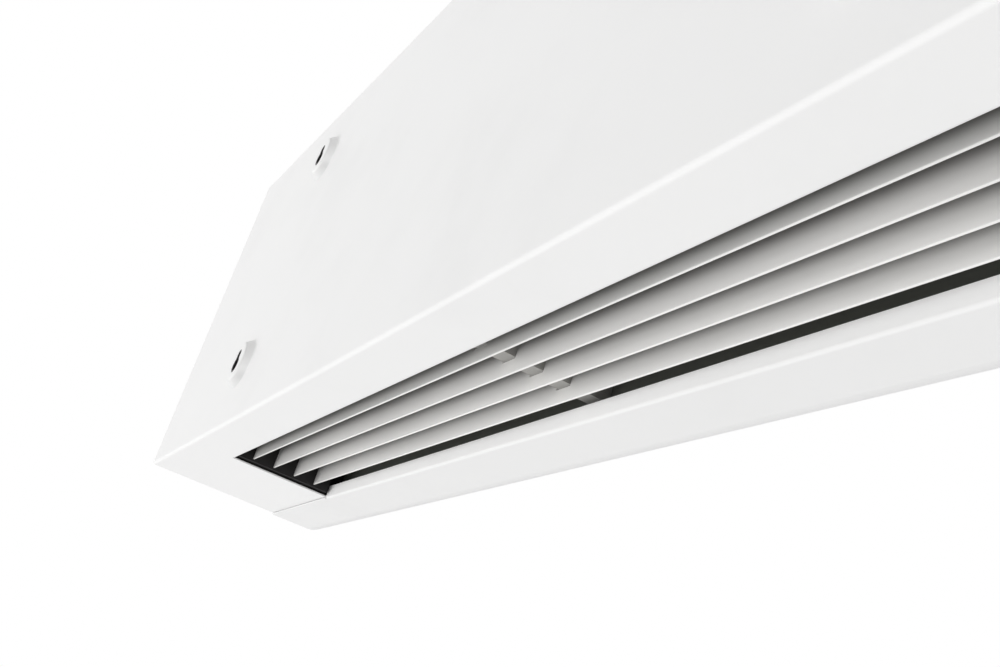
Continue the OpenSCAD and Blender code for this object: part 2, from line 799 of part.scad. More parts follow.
module slat(n) {
    bottom = slat_recess + slat_t / 2;
    color(slat_grey) in_casing() difference() {
        along_x(-slat_half, slat_half) translate([slat_v(n), 0]) difference() {
            union() {
                translate([0, bottom]) circle(d = slat_t);
                translate([-slat_t / 2, bottom]) square([slat_t, slat_axis - bottom]);
                translate([0, slat_axis]) circle(d = slat_bead_d);
            }
            translate([0, slat_axis]) circle(d = slat_pin_d);
        }
        block([-bar_w / 2 - bar_gap / 2, slat_v(n) - slat_bead_d, bar_low - bar_gap],
            [bar_w / 2 + bar_gap / 2, slat_v(n) + slat_bead_d, slat_axis + slat_bead_d]);
    }
}

module slat_pins(n) {
    at = [slat_v(n), slat_axis];
    mid = bar_w / 2 + bar_gap / 2 + slat_pin_grip;
    color(steel_grey) in_casing() {
        rod_x(-mid, mid, slat_pin_d, at);
        for (s = [-1, 1]) mirror([s > 0 ? 0 : 1, 0, 0])
            rod_x(slat_half - slat_pin_grip, duct_half - 0.4, slat_pin_d, at);
    }
}

module slat_1() { slat(1); }
module slat_2() { slat(2); }
module slat_3() { slat(3); }
module slat_4() { slat(4); }
module slat_1_pins() { slat_pins(1); }
module slat_2_pins() { slat_pins(2); }
module slat_3_pins() { slat_pins(3); }
module slat_4_pins() { slat_pins(4); }

module slat_holder(side) {
    color(plastic_black) in_casing() mirror([side > 0 ? 0 : 1, 0, 0]) difference() {
        union() {
            block([holder_base, duct_back + 0.3, sheet], [duct_half, duct_front - 0.3, holder_h]);
            block([holder_in, duct_back + 0.3, slat_recess - 2],
                [holder_base + eps, seam_v - 2, holder_h]);
        }
        for (n = [1 : 4])
            rod_x(holder_in - 1, duct_half + 1, slat_pin_d + 2 * slack, [slat_v(n), slat_axis]);
    }
}

module slat_holder_left() { slat_holder(-1); }
module slat_holder_right() { slat_holder(1); }

// A folded channel, open upwards, that crosses the outlet and carries the middle pins.
module slat_support_bar() {
    color(slat_grey) in_casing() difference() {
        block([-bar_w / 2, duct_back, bar_low], [bar_w / 2, duct_front, bar_low + bar_h]);
        block([-bar_w / 2 + bar_t, duct_back - 1, bar_low + bar_t],
            [bar_w / 2 - bar_t, duct_front + 1, bar_low + bar_h + 1]);
        for (n = [1 : 4])
            rod_x(-bar_w, bar_w, slat_pin_d + 2 * slack, [slat_v(n), slat_axis]);
    }
}

// ---------------------------------------------------------------- fan rotor

// One forward-curved blade, a slice of a thin ring between the rotor's two radii.
module blade() {
    inner = fan_r - blade_depth;
    intersection() {
        difference() {
            circle(fan_r - 0.3);
            circle(inner);
        }
        translate([inner + 2, -blade_curve_r + 0.5]) difference() {
            circle(blade_curve_r + blade_t / 2);
            circle(blade_curve_r - blade_t / 2);
        }
        translate([inner - 2, -blade_curve_r - 1]) square([blade_depth + 4, blade_curve_r + 4]);
    }
}

module fan_rotor() {
    field = 2 * fan_half / (ring_count - 1);
    color(duct_dark) in_casing() translate([0, fan_v, fan_w]) rotate([0, 90, 0]) {
        translate([0, 0, -fan_half])
            linear_extrude(2 * fan_half)
                for (k = [0 : blade_count - 1])
                    rotate(k * 360 / blade_count) blade();
        for (i = [1 : ring_count - 2])
            translate([0, 0, -fan_half + i * field - ring_t / 2])
                difference() {
                    cylinder(h = ring_t, r = fan_r);
                    translate([0, 0, -1]) cylinder(h = ring_t + 2, r = fan_r - ring_depth);
                }
        for (s = [0, 1]) mirror([0, 0, s])
            difference() {
                union() {
                    translate([0, 0, fan_half - ring_t]) cylinder(h = ring_t, r = fan_r);
                    translate([0, 0, fan_half - 9]) cylinder(h = 9 + fan_end_gap / 2, d = hub_d);
                }
                translate([0, 0, fan_half - 12]) cylinder(h = 30, d = shaft_d);
            }
    }
}

module stub_shaft_right() {
    color(steel_grey) in_casing() difference() {
        rod_x(fan_half - 9, duct_outer + housing_depth + 1, shaft_d, fan_c);
        translate([duct_outer + housing_depth - 1.5, fan_v, fan_w])
            rotate([0, 90, 0]) difference() {
                cylinder(h = 1, d = shaft_d + 2);
                translate([0, 0, -1]) cylinder(h = 3, d = shaft_d - 1.2);
            }
    }
}

module stub_shaft_left() {
    color(steel_grey) in_casing() mirror([1, 0, 0])
        rod_x(fan_half - 9, shaft_meet, shaft_d, fan_c);
}

// ---------------------------------------------------------------- motor side

module shaft_coupling() {
    grip = coupling_len / 2;
    color(rubber_black) in_casing()
        turned_x(coupling_start, -1)
            polygon([[shaft_d / 2, 0], [coupling_d / 2 - 1, 0], [coupling_d / 2, 1],
                [coupling_d / 2, grip - 4], [coupling_d / 2 - 3, grip - 3],
                [coupling_d / 2 - 3, grip + 3], [coupling_d / 2, grip + 4],
                [coupling_d / 2, coupling_len - 1], [coupling_d / 2 - 1, coupling_len],
                [motor_shaft_d / 2, coupling_len], [motor_shaft_d / 2, grip], [shaft_d / 2, grip]]);
}

module motor_shaft() {
    color(steel_grey) in_casing() mirror([1, 0, 0])
        rod_x(shaft_meet, motor_face + 12, motor_shaft_d, fan_c);
}

mount_reach = bracket_side / 2 - 10;
function mount_places() = [for (a = [-1, 1], b = [-1, 1]) fan_c + mount_reach * [a, b]];
screw_circle = motor_d / 2 - 10;
function motor_screw_places() = [for (a = [45 : 90 : 315]) fan_c + screw_circle * [cos(a), sin(a)]];

module rounded_square(side, r) {
    half = side / 2;
    square([side - 2 * r, side], center = true);
    square([side, side - 2 * r], center = true);
    for (a = [-1, 1], b = [-1, 1])
        translate([a * (half - r), b * (half - r)]) circle(r);
}

module motor_bracket() {
    color(zinc_grey) in_casing() mirror([1, 0, 0]) difference() {
        along_x(mount_end, motor_face) translate(fan_c) rounded_square(bracket_side, 9);
        rod_x(mount_end - 1, motor_face + 1, coupling_d + 4, fan_c);
        for (p = motor_screw_places())
            rod_x(mount_end - 1, motor_face + 1, 4, p);
        for (p = mount_places())
            rod_x(mount_end - 1, motor_face + 1, 5, p);
    }
}

// Rubber bobbins with a steel stud and nut that hold the bracket off the duct's end plate.
module motor_rubber_mounts() {
    color(rubber_black) in_casing() mirror([1, 0, 0])
        for (p = mount_places()) {
            difference() {
                rod_x(duct_outer, mount_end, mount_d, p);
                translate([(duct_outer + mount_end) / 2, p[0], p[1]])
                    rotate([0, 90, 0])
                        rotate_extrude()
                            translate([mount_d / 2 + 10, 0]) circle(12);
            }
            rod_x(duct_half, duct_outer, 5, p);
            rod_x(mount_end, motor_face + 6, 5, p);
            translate([motor_face, p[0], p[1]]) rotate([0, 90, 0]) cylinder(h = 4, d = 9, $fn = 6);
        }
}

// The motor: two end bells, a stator with cooling ribs, and a spigot for the shaft.
module motor_body() {
    bell = motor_d / 2 - 3;
    rib_count = 24;
    color(steel_grey) in_casing() difference() {
        union() {
            turned_x(motor_face, -1)
                polygon([[0, 0], [bell - 4, 0], [bell, 4], [bell, 18], [bell - 2, 19],
                    [bell - 2, motor_len - 19], [bell, motor_len - 18], [bell, motor_len - 8],
                    [bell - 10, motor_len], [0, motor_len]]);
            turned_x(motor_face, -1)
                polygon([[0, -motor_spigot], [coupling_d / 2 - 1, -motor_spigot],
                    [coupling_d / 2 - 1, 1], [0, 1]]);
            block([loom_left - 15, fan_v - 12, fan_w + bell - 9],
                [loom_left + 15, fan_v + 12, fan_w + motor_box_h]);
            for (k = [0 : rib_count - 1])
                translate([-motor_face, fan_v, fan_w])
                    rotate([k * 360 / rib_count, 0, 0])
                        block([-motor_len + 19, -1.2, bell - 8], [-19, 1.2, motor_d / 2]);
        }
        rod_x(-motor_face - 14, -motor_face + motor_spigot + 1, motor_shaft_d + 2 * slack, fan_c);
        for (p = motor_screw_places())
            rod_x(-motor_face - 9, -motor_face + 1, 4, p);
    }
}

module motor_screws() {
    color(steel_grey) in_casing() mirror([1, 0, 0])
        for (p = motor_screw_places()) {
            rod_x(mount_end, motor_face + 9, 4, p);
            translate([mount_end - 3, p[0], p[1]]) rotate([0, 90, 0]) difference() {
                cylinder(h = 3, d = 7.5);
                translate([0, 0, -1]) cylinder(h = 2.6, d = 3.6, $fn = 6);
            }
        }
}

// ---------------------------------------------------------------- bearing side

housing_bore = bearing_d + 2 * bearing_rubber_t;
housing_depth = bearing_w + 4;
function bearing_screw_places() = [for (a = [90, 210, 330])
    fan_c + (housing_flange_d / 2 - 7) * [cos(a), sin(a)]];

module bearing_housing() {
    inner = housing_bore / 2;
    color(zinc_grey) in_casing() difference() {
        turned_x(duct_outer, 1)
            polygon([[inner, 0], [housing_flange_d / 2, 0], [housing_flange_d / 2, housing_t],
                [inner + housing_t + 2, housing_t], [inner + housing_t, housing_t + 2],
                [inner + housing_t, housing_depth], [inner - 4, housing_depth],
                [inner - 4, housing_depth - housing_t], [inner, housing_depth - housing_t]]);
        for (p = bearing_screw_places())
            rod_x(duct_outer - 1, duct_outer + housing_t + 1, 4, p);
    }
}

module bearing_rubber_ring() {
    color(rubber_black) in_casing()
        turned_x(duct_outer + 1, 1)
            translate([bearing_d / 2, 0])
                square([bearing_rubber_t, housing_depth - housing_t - 1]);
}

module rotor_bearing() {
    bore = shaft_d / 2 + slack;
    out = bearing_d / 2;
    color(steel_grey) in_casing()
        turned_x(duct_outer + 1.5, 1)
            polygon([[bore, 0], [bore + 2.2, 0], [bore + 2.2, 0.6], [out - 2.6, 0.6], [out - 2.6, 0],
                [out, 0], [out, bearing_w], [out - 2.6, bearing_w], [out - 2.6, bearing_w - 0.6],
                [bore + 2.2, bearing_w - 0.6], [bore + 2.2, bearing_w], [bore, bearing_w]]);
}

module bearing_screws() {
    color(steel_grey) in_casing()
        for (p = bearing_screw_places()) {
            rod_x(duct_half, duct_outer + housing_t, 4, p);
            translate([duct_outer + housing_t, p[0], p[1]])
                rotate([0, 90, 0]) cylinder(h = 3.2, d = 7.7, $fn = 6);
        }
}

// ---------------------------------------------------------------- electrics

module control_tray() {
    color(zinc_grey) in_casing() {
        block([tray_left, sheet, tray_low], [tray_right, tray_face, tray_low + tray_h]);
        for (x = [tray_left, tray_right - sheet])
            block([x, tray_face - eps, tray_low], [x + sheet, tray_face + tray_edge, tray_low + tray_h]);
    }
}

terminal_w = tray_low + tray_h - 34;
terminal_depth = 24;

module terminal_block() {
    width = terminal_ways * terminal_pitch;
    color(nylon_white) in_casing() translate([tray_x - width / 2, tray_face, terminal_w])
        difference() {
            union() {
                block([0, 0, 0], [width, 8, 26]);
                block([0, 8 - eps, 4], [width, terminal_depth, 22]);
            }
            for (i = [0 : terminal_ways - 1]) translate([(i + 0.5) * terminal_pitch, 0, 0]) {
                for (w = [8, 18]) rod_v(12, terminal_depth + 1, 5, 0, w);
                block([-2.5, 11, -1], [2.5, 17, 9]);
                block([-2.5, 11, 17], [2.5, 17, 27]);
            }
            for (i = [1 : terminal_ways - 1])
                block([i * terminal_pitch - 0.5, 14, -1], [i * terminal_pitch + 0.5, terminal_depth + 1, 27]);
        }
}

board_low = tray_low + capacitor_d + 30;
board_v = tray_face + 8;

module circuit_board() {
    left = tray_x - board_len / 2;
    color(board_green) in_casing() {
        block([left, board_v, board_low], [left + board_len, board_v + 1.6, board_low + board_h]);
        for (x = [left + 5, left + board_len - 5], w = [board_low + 5, board_low + board_h - 5])
            rod_v(tray_face, board_v + 3.6, 5, x, w);
        for (i = [0, 1])
            block([left + 12 + i * 24, board_v + 1.6 - eps, board_low + 34],
                [left + 31 + i * 24, board_v + 17, board_low + 50]);
        block([left + 60, board_v + 1.6 - eps, board_low + 30],
            [left + 76, board_v + 13, board_low + 54]);
        for (i = [0 : 5])
            block([left + 12 + i * 10, board_v + 1.6 - eps, board_low + 8],
                [left + 20 + i * 10, board_v + 11, board_low + 18]);
        rod_v(board_v + 1.6 - eps, board_v + 19, 12, left + 68, board_low + 18);
    }
}

capacitor_at = [tray_face + capacitor_d / 2 + 1.5, tray_low + capacitor_d / 2 + 10];

module run_capacitor() {
    left = tray_x - capacitor_len / 2;
    color(nylon_white) in_casing() {
        rod_x(left, left + capacitor_len, capacitor_d, capacitor_at);
        rod_x(left + capacitor_len, left + capacitor_len + 2, capacitor_d - 4, capacitor_at);
        for (s = [-1, 1])
            translate([left + capacitor_len + 2, capacitor_at[0] + s * 6, capacitor_at[1]])
                block([0, -0.4, -3], [6, 0.4, 3]);
    }
}

module capacitor_clamp() {
    r = capacitor_d / 2;
    color(zinc_grey) in_casing() difference() {
        along_x(tray_x - 10, tray_x + 10) difference() {
            union() {
                translate(capacitor_at) circle(r + 1.5);
                translate([tray_face, capacitor_at[1] - r - 9]) square([1.5, 2 * r + 18]);
            }
            translate(capacitor_at) circle(r);
        }
        for (s = [-1, 1])
            rod_v(tray_face - 1, tray_face + 3, 4, tray_x, capacitor_at[1] + s * (r + 5.5));
    }
}

module earth_stud() {
    x = tray_left + 8;
    w = terminal_w - 12;
    color(brass_yellow) in_casing() {
        rod_v(tray_face, tray_face + 16, 5, x, w);
        for (v = [0, 6])
            translate([x, tray_face + v, w]) rotate([-90, 0, 0]) cylinder(h = 4, d = 9.2, $fn = 6);
    }
}

// The loom runs from the terminals behind the duct to the motor, with two square turns.
loom_bend = 14;
loom_right = tray_x;
loom_left = -(motor_face + motor_len * 0.45);

module quarter_bend() {
    rotate_extrude(angle = 90) translate([loom_bend, 0]) circle(d = loom_d);
}

module wiring_loom() {
    color(rubber_black) in_casing() {
        rod_x(loom_left + loom_bend, loom_right - loom_bend, loom_d, [loom_v, loom_w]);
        translate([loom_right - loom_bend, loom_v, loom_w - loom_bend])
            rotate([90, 0, 0]) quarter_bend();
        rod_w(terminal_w + 26, loom_w - loom_bend, loom_d, loom_right, loom_v);
        translate([loom_left + loom_bend, loom_v + loom_bend, loom_w])
            rotate([0, 0, 180]) quarter_bend();
        rod_v(loom_v + loom_bend, fan_v - loom_bend, loom_d, loom_left, loom_w);
        translate([loom_left, fan_v - loom_bend, loom_w - loom_bend])
            rotate([0, -90, 0]) quarter_bend();
        rod_w(fan_w + motor_box_h, loom_w - loom_bend, loom_d, loom_left, fan_v);
    }
}

grommet_d = 13;

module loom_grommets() {
    color(rubber_black) in_casing()
        for (s = [0, 1]) mirror([s, 0, 0])
            translate([duct_half, loom_v, loom_w]) rotate([0, 90, 0])
                rotate_extrude()
                    polygon([[loom_d / 2, -1.5], [grommet_d / 2 + 1.5, -1.5],
                        [grommet_d / 2 + 1.5, 0], [grommet_d / 2, 0], [grommet_d / 2, duct_end_t],
                        [grommet_d / 2 + 1.5, duct_end_t], [grommet_d / 2 + 1.5, duct_end_t + 1.5],
                        [loom_d / 2, duct_end_t + 1.5]]);
}

module cable_glands() {
    color(plastic_black) in_casing()
        for (p = gland_places())
            translate([p[0], p[1], casing_h]) difference() {
                union() {
                    translate([0, 0, -12]) cylinder(h = 12, d = gland_d);
                    cylinder(h = 5, d = 27, $fn = 6);
                    translate([0, 0, 5]) cylinder(h = 3, d = gland_d);
                    translate([0, 0, 8]) cylinder(h = 8, d = 26, $fn = 6);
                    translate([0, 0, 16]) cylinder(h = 4, d1 = 21, d2 = 16);
                }
                translate([0, 0, -13]) cylinder(h = 40, d = gland_bore);
            }
}

module gland_locknuts() {
    color(plastic_black) in_casing()
        for (p = gland_places())
            translate([p[0], p[1], casing_h - sheet - 5]) difference() {
                cylinder(h = 5, d = 28, $fn = 6);
                translate([0, 0, -1]) cylinder(h = 7, d = gland_d);
            }
}

// ---------------------------------------------------------------- what is drawn

back_shell();
end_panel_left();
end_panel_right();
end_panel_screws();
hinge_leaves_fixed();
hinge_pins();
scroll_rear_wall();
duct_front_wall();
duct_end_plate_left();
duct_end_plate_right();
slat_holder_left();
slat_holder_right();
slat_support_bar();
motor_bracket();
motor_rubber_mounts();
motor_body();
motor_screws();
bearing_housing();
bearing_rubber_ring();
rotor_bearing();
bearing_screws();
control_tray();
terminal_block();
circuit_board();
run_capacitor();
capacitor_clamp();
earth_stud();
wiring_loom();
loom_grommets();
cable_glands();
gland_locknuts();
threaded_inserts();
front_cover();
hinge_leaves_moving();
cover_screws();
intake_grille();
filter_frame();
filter_mesh();
filter_clips();
fan_rotor();
stub_shaft_left();
stub_shaft_right();
shaft_coupling();
motor_shaft();
slat_1();
slat_2();
slat_3();
slat_4();
slat_1_pins();
slat_2_pins();
slat_3_pins();
slat_4_pins();
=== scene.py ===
"""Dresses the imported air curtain: camera and studio, finishes for every sheet, casting and
moulding, and the small pieces that a bare construction model lacks."""

import logging
import math
from collections.abc import Callable, Iterable
from dataclasses import dataclass
from enum import Enum

import bpy
from mathutils import Matrix, Vector


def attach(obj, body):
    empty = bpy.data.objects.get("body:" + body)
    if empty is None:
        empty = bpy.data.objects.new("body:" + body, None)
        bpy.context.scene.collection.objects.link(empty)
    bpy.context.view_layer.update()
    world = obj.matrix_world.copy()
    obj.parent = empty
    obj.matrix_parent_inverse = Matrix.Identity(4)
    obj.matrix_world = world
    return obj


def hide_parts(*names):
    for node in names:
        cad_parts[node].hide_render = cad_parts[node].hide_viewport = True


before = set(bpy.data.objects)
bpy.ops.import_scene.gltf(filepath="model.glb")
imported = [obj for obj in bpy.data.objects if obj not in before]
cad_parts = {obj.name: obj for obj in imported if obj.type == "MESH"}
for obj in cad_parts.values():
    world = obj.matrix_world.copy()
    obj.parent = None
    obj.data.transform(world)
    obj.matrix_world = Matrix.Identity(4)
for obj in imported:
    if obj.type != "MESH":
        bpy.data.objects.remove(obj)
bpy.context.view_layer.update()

LOG = logging.getLogger("air_curtain")
Colour = tuple[float, float, float]
MM = 0.001
WHITE: Colour = (1.0, 1.0, 1.0)
# How far the wall bosses stand out behind the back panel, in millimetres.
BOSS_HEIGHT = 7.0
# How far the bottom plate lies below the frame's origin, in millimetres.
PLATE_DROP = 171.0
# The fan's axis: millimetres forward from the back panel, and up from the bottom plate.
AXIS = (108.0, 212.0)
# Edges sharper than the first angle are rounded, and faces under the second are shaded as one.
BEVEL_ANGLE, SMOOTH_ANGLE = math.radians(40), math.radians(33)


def at(x: float, v: float, w: float) -> Vector:
    """Turns casing measurements into a place in the part's frame.

    Args:
        x: Millimetres along the casing from its middle.
        v: Millimetres forward from the back panel.
        w: Millimetres up from the bottom plate.

    Returns:
        The place in metres.
    """
    return Vector((x, -(BOSS_HEIGHT + v), w - PLATE_DROP)) * MM


# ---------------------------------------------------------------- shader nodes


class Signal:
    """An output of a node, with which sums are done as with a number."""

    def __init__(self, bench: "Bench", socket: bpy.types.NodeSocket) -> None:
        """Takes an output socket.

        Args:
            bench: The tree that it belongs to.
            socket: The output socket.
        """
        self.bench = bench
        self.socket = socket

    def __add__(self, other: "Signal | float") -> "Signal":
        """Adds a signal or a number."""
        return self.bench.maths("ADD", self, other)

    def __sub__(self, other: "Signal | float") -> "Signal":
        """Takes a signal or a number away."""
        return self.bench.maths("SUBTRACT", self, other)

    def __mul__(self, other: "Signal | float") -> "Signal":
        """Multiplies by a signal or a number."""
        return self.bench.maths("MULTIPLY", self, other)

    def __abs__(self) -> "Signal":
        """Drops the sign."""
        return self.bench.maths("ABSOLUTE", self)

    def at_least(self, other: "Signal | float") -> "Signal":
        """Gives the larger of two."""
        return self.bench.maths("MAXIMUM", self, other)

    def at_most(self, other: "Signal | float") -> "Signal":
        """Gives the smaller of two."""
        return self.bench.maths("MINIMUM", self, other)

    def below(self, limit: float) -> "Signal":
        """Gives 1 where this is less than a limit, and 0 elsewhere."""
        return self.bench.maths("LESS_THAN", self, limit)

    def ramp(self, low: float, high: float, start: float = 0.0, end: float = 1.0) -> "Signal":
        """Maps low to start and high to end, with soft ends and nothing beyond them."""
        return self.bench.out(
            "ShaderNodeMapRange", "Result", interpolation_type="SMOOTHSTEP", value=self,
            from_min=low, from_max=high, to_min=start, to_max=end)


class Bench:
    """A node tree that is being built, with short calls for the nodes used most."""

    def __init__(self, tree: bpy.types.NodeTree) -> None:
        """Takes the tree of a material, a world or a group."""
        self.tree = tree

    def feed(self, value: object, into: bpy.types.NodeSocket) -> None:
        """Gives an input its value.

        Args:
            value: A signal, a number or a tuple. A colour has three channels.
            into: The input socket.
        """
        if isinstance(value, Signal):
            self.tree.links.new(value.socket, into)
        else:
            into.default_value = (*value, 1.0) if into.type == "RGBA" else value

    def node(self, kind: str, **settings: object) -> bpy.types.Node:
        """Adds a node and sets it up.

        Args:
            kind: The node's type name.
            settings: Inputs and properties, by name with spaces as underscores.

        Returns:
            The new node.
        """
        made = self.tree.nodes.new(kind)
        for key, value in settings.items():
            name = key.replace("_", " ").title()
            if name in made.inputs:
                self.feed(value, made.inputs[name])
            else:
                setattr(made, key, value)
        return made

    def out(self, kind: str, output: str, **settings: object) -> Signal:
        """Adds a node as node() does, and gives the output with this name."""
        return Signal(self, self.node(kind, **settings).outputs[output])

    def chain(self, kind: str, *values: object, **settings: object) -> Signal:
        """Adds a node, feeds its inputs in order and gives its first output.

        Args:
            kind: The node's type name.
            values: What its inputs get.
            settings: Further inputs and properties, as for node().

        Returns:
            The first output.
        """
        made = self.node(kind, **settings)
        for socket, value in zip(made.inputs, values):
            self.feed(value, socket)
        return Signal(self, made.outputs[0])

    def maths(self, operation: str, *values: object) -> Signal:
        """Adds a Math node on signals or numbers."""
        return self.chain("ShaderNodeMath", *values, operation=operation)

    def reach(self, a: Signal, b: Signal) -> Signal:
        """Gives the distance that two distances at right angles make."""
        return self.maths("SQRT", a * a + b * b)

    def mix(self, factor: Signal, a: "Signal | Colour", b: "Signal | Colour") -> Signal:
        """Mixes two colours.

        Args:
            factor: What chooses between them.
            a: The colour at 0.
            b: The colour at 1.

        Returns:
            The mixed colour.
        """
        made = self.node("ShaderNodeMix", data_type="RGBA", factor=factor)
        for value, socket in zip((a, b), [s for s in made.inputs if s.type == "RGBA"]):
            self.feed(value, socket)
        return Signal(self, [s for s in made.outputs if s.type == "RGBA"][0])

    def noise(self, coords: Signal, scale: float, detail: float = 2.0,
              rough: float = 0.5) -> Signal:
        """Gives noise by cells per metre, octaves and the strength of the finer octaves."""
        return self.chain("ShaderNodeTexNoise", vector=coords, scale=scale, detail=detail,
                          roughness=rough)

    def stretched(self, coords: Signal, *factors: float) -> Signal:
        """Stretches coordinates by a factor along each axis."""
        return self.chain("ShaderNodeMapping", vector_type="POINT", vector=coords, scale=factors)

    def bump(self, height: Signal, distance: float, strength: float) -> Signal:
        """Turns a height into a normal. Distance is what a height of 1 means, in metres."""
        return self.out("ShaderNodeBump", "Normal", height=height, distance=distance,
                        strength=strength)


def fresh(owner: bpy.types.Material | bpy.types.World) -> Bench:
    """Clears the node tree of a material or a world.

    Args:
        owner: The material or the world.

    Returns:
        Its bench.
    """
    owner.use_nodes = True
    owner.node_tree.nodes.clear()
    return Bench(owner.node_tree)


def orange_peel(bench: Bench, coords: Signal) -> tuple[Signal, Signal]:
    """Builds the fine ripple of a powder coat.

    Args:
        bench: The group's bench.
        coords: The scaled coordinates.

    Returns:
        The height, and a slow cloud for its gloss.
    """
    ripple = bench.noise(coords, 620.0, 2.5, 0.6)
    swell = bench.noise(coords, 150.0, 1.0)
    return ripple * 0.7 + swell * 0.3, bench.noise(coords, 9.0, 3.0, 0.55)


def handling(bench: Bench, coords: Signal) -> tuple[Signal, Signal]:
    """Builds the smudges and faint scuffs that hands and dust leave.

    Args:
        bench: The group's bench.
        coords: The scaled coordinates.

    Returns:
        Fine scuffs as a height, and broad smudges as a mask.
    """
    scuffs = bench.noise(bench.stretched(coords, 1.0, 6.0, 6.0), 40.0, 5.0, 0.7)
    return scuffs.ramp(0.6, 0.75), bench.noise(coords, 5.5, 5.0, 0.62).ramp(0.45, 0.75)


def rolled(bench: Bench, coords: Signal) -> tuple[Signal, Signal]:
    """Builds the long streaks that rolling or grinding leaves along X.

    Args:
        bench: The group's bench.
        coords: The scaled coordinates.

    Returns:
        The streaks as a height, and slower streaks as a mask.
    """
    fine = bench.noise(bench.stretched(coords, 0.02, 1.0, 1.0), 1400.0, 3.0, 0.6)
    return fine, bench.noise(bench.stretched(coords, 0.05, 1.0, 1.0), 120.0, 3.0, 0.6)


def spangle(bench: Bench, coords: Signal) -> tuple[Signal, Signal]:
    """Builds the crystal fields of zinc-coated sheet.

    Args:
        bench: The group's bench.
        coords: The scaled coordinates.

    Returns:
        A faint height, and the tone of each field.
    """
    cells = bench.node("ShaderNodeTexVoronoi", feature="F1", vector=coords, scale=170.0)
    tone = bench.chain("ShaderNodeSeparateColor", Signal(bench, cells.outputs["Color"]))
    return Signal(bench, cells.outputs["Distance"]), tone


class Effect(Enum):
    """Shared shader groups, each built once."""

    ORANGE_PEEL = "orange peel"
    HANDLING = "handling marks"
    ROLLED = "rolled streaks"
    SPANGLE = "zinc spangle"

    def group(self) -> bpy.types.NodeTree:
        """Makes the group, or gives the one already made.

        Returns:
            A group that takes Vector and Scale and gives Height and Mask.
        """
        known = bpy.data.node_groups.get(self.value)
        if known:
            return known
        group = bpy.data.node_groups.new(self.value, "ShaderNodeTree")
        for name, way, kind in (("Vector", "INPUT", "Vector"), ("Scale", "INPUT", "Float"),
                                ("Height", "OUTPUT", "Float"), ("Mask", "OUTPUT", "Float")):
            group.interface.new_socket(name, in_out=way, socket_type="NodeSocket" + kind)
        bench = Bench(group)
        source = bench.node("NodeGroupInput")
        coords = bench.chain(
            "ShaderNodeVectorMath", Signal(bench, source.outputs["Vector"]), operation="SCALE",
            scale=Signal(bench, source.outputs["Scale"]))
        height, mask = EFFECT_BUILDERS[self](bench, coords)
        bench.node("NodeGroupOutput", height=height, mask=mask)
        return group


EFFECT_BUILDERS = {
    Effect.ORANGE_PEEL: orange_peel,
    Effect.HANDLING: handling,
    Effect.ROLLED: rolled,
    Effect.SPANGLE: spangle,
}


# ---------------------------------------------------------------- finishes


class Skin(Bench):
    """The tree of a surface, with its shader and its object coordinates."""

    def __init__(self, finish: "Finish") -> None:
        """Makes the material with its shader.

        Args:
            finish: What gives the name and the plain values.
        """
        self.material = bpy.data.materials.new("finish_" + finish.name)
        super().__init__(fresh(self.material).tree)
        self.shader = self.node(
            "ShaderNodeBsdfPrincipled", base_color=finish.colour, roughness=finish.roughness,
            metallic=finish.metallic)
        self.node("ShaderNodeOutputMaterial", surface=Signal(self, self.shader.outputs[0]))
        self.coords = self.out("ShaderNodeTexCoord", "Object")

    def paint(self, **channels: Signal) -> None:
        """Feeds inputs of the shader, by name with spaces as underscores."""
        for name, value in channels.items():
            self.feed(value, self.shader.inputs[name.replace("_", " ").title()])

    def coat(self) -> Signal:
        """Gives what feeds the base colour so far."""
        return Signal(self, self.shader.inputs["Base Color"].links[0].from_socket)

    def place(self) -> list[Signal]:
        """Gives the three object coordinates, in metres."""
        split = self.node("ShaderNodeSeparateXYZ", vector=self.coords)
        return [Signal(self, output) for output in split.outputs]

    def effect(self, effect: Effect, scale: float = 1.0) -> tuple[Signal, Signal]:
        """Places a shared group.

        Args:
            effect: Which group.
            scale: How much finer it is than usual.

        Returns:
            Its height and its mask.
        """
        node = self.node("ShaderNodeGroup", node_tree=effect.group(), vector=self.coords,
                         scale=scale)
        return Signal(self, node.outputs["Height"]), Signal(self, node.outputs["Mask"])


@dataclass(frozen=True)
class Finish:
    """A surface finish. Its kinds differ in what they do in dress()."""

    name: str
    colour: Colour
    roughness: float = 0.45
    metallic: float = 0.0
    scale: float = 1.0

    def build(self) -> bpy.types.Material:
        """Makes the material, or gives the one already made.

        Returns:
            The material.
        """
        known = bpy.data.materials.get("finish_" + self.name)
        if known:
            return known
        skin = Skin(self)
        self.dress(skin)
        return skin.material

    def dress(self, skin: Skin) -> None:
        """Adds what this finish shows.

        Args:
            skin: The surface that is being built.
        """
        raise NotImplementedError

    def shade(self, factor: float) -> Colour:
        """Gives this finish's colour made lighter or darker by a factor."""
        return tuple(min(1.0, channel * factor) for channel in self.colour)

    def gloss(self, mask: Signal, low: float, high: float, finer: float, duller: float) -> Signal:
        """Gives this finish's roughness, less some at the mask's low and more at its high."""
        return mask.ramp(low, high, self.roughness - finer, self.roughness + duller)


@dataclass(frozen=True)
class PowderCoat(Finish):
    """Sprayed and baked paint: a fine ripple, a slow change of gloss and faint smudges."""

    ripple: float = 0.00005
    cloud: float = 0.985
    smudge: float = 0.965

    def dress(self, skin: Skin) -> None:
        """Adds ripple, smudges and gloss clouds.

        Args:
            skin: The surface that is being built.
        """
        ripple, clouds = skin.effect(Effect.ORANGE_PEEL, self.scale)
        scuffs, smudges = skin.effect(Effect.HANDLING)
        tone = skin.mix(clouds, self.shade(self.cloud), self.colour)
        tone = skin.mix(smudges, tone, self.shade(self.smudge))
        rough = self.gloss(clouds, 0.3, 0.7, 0.04, 0.04) + scuffs * 0.06
        skin.paint(base_color=tone, roughness=rough, normal=skin.bump(ripple, self.ripple, 0.6))


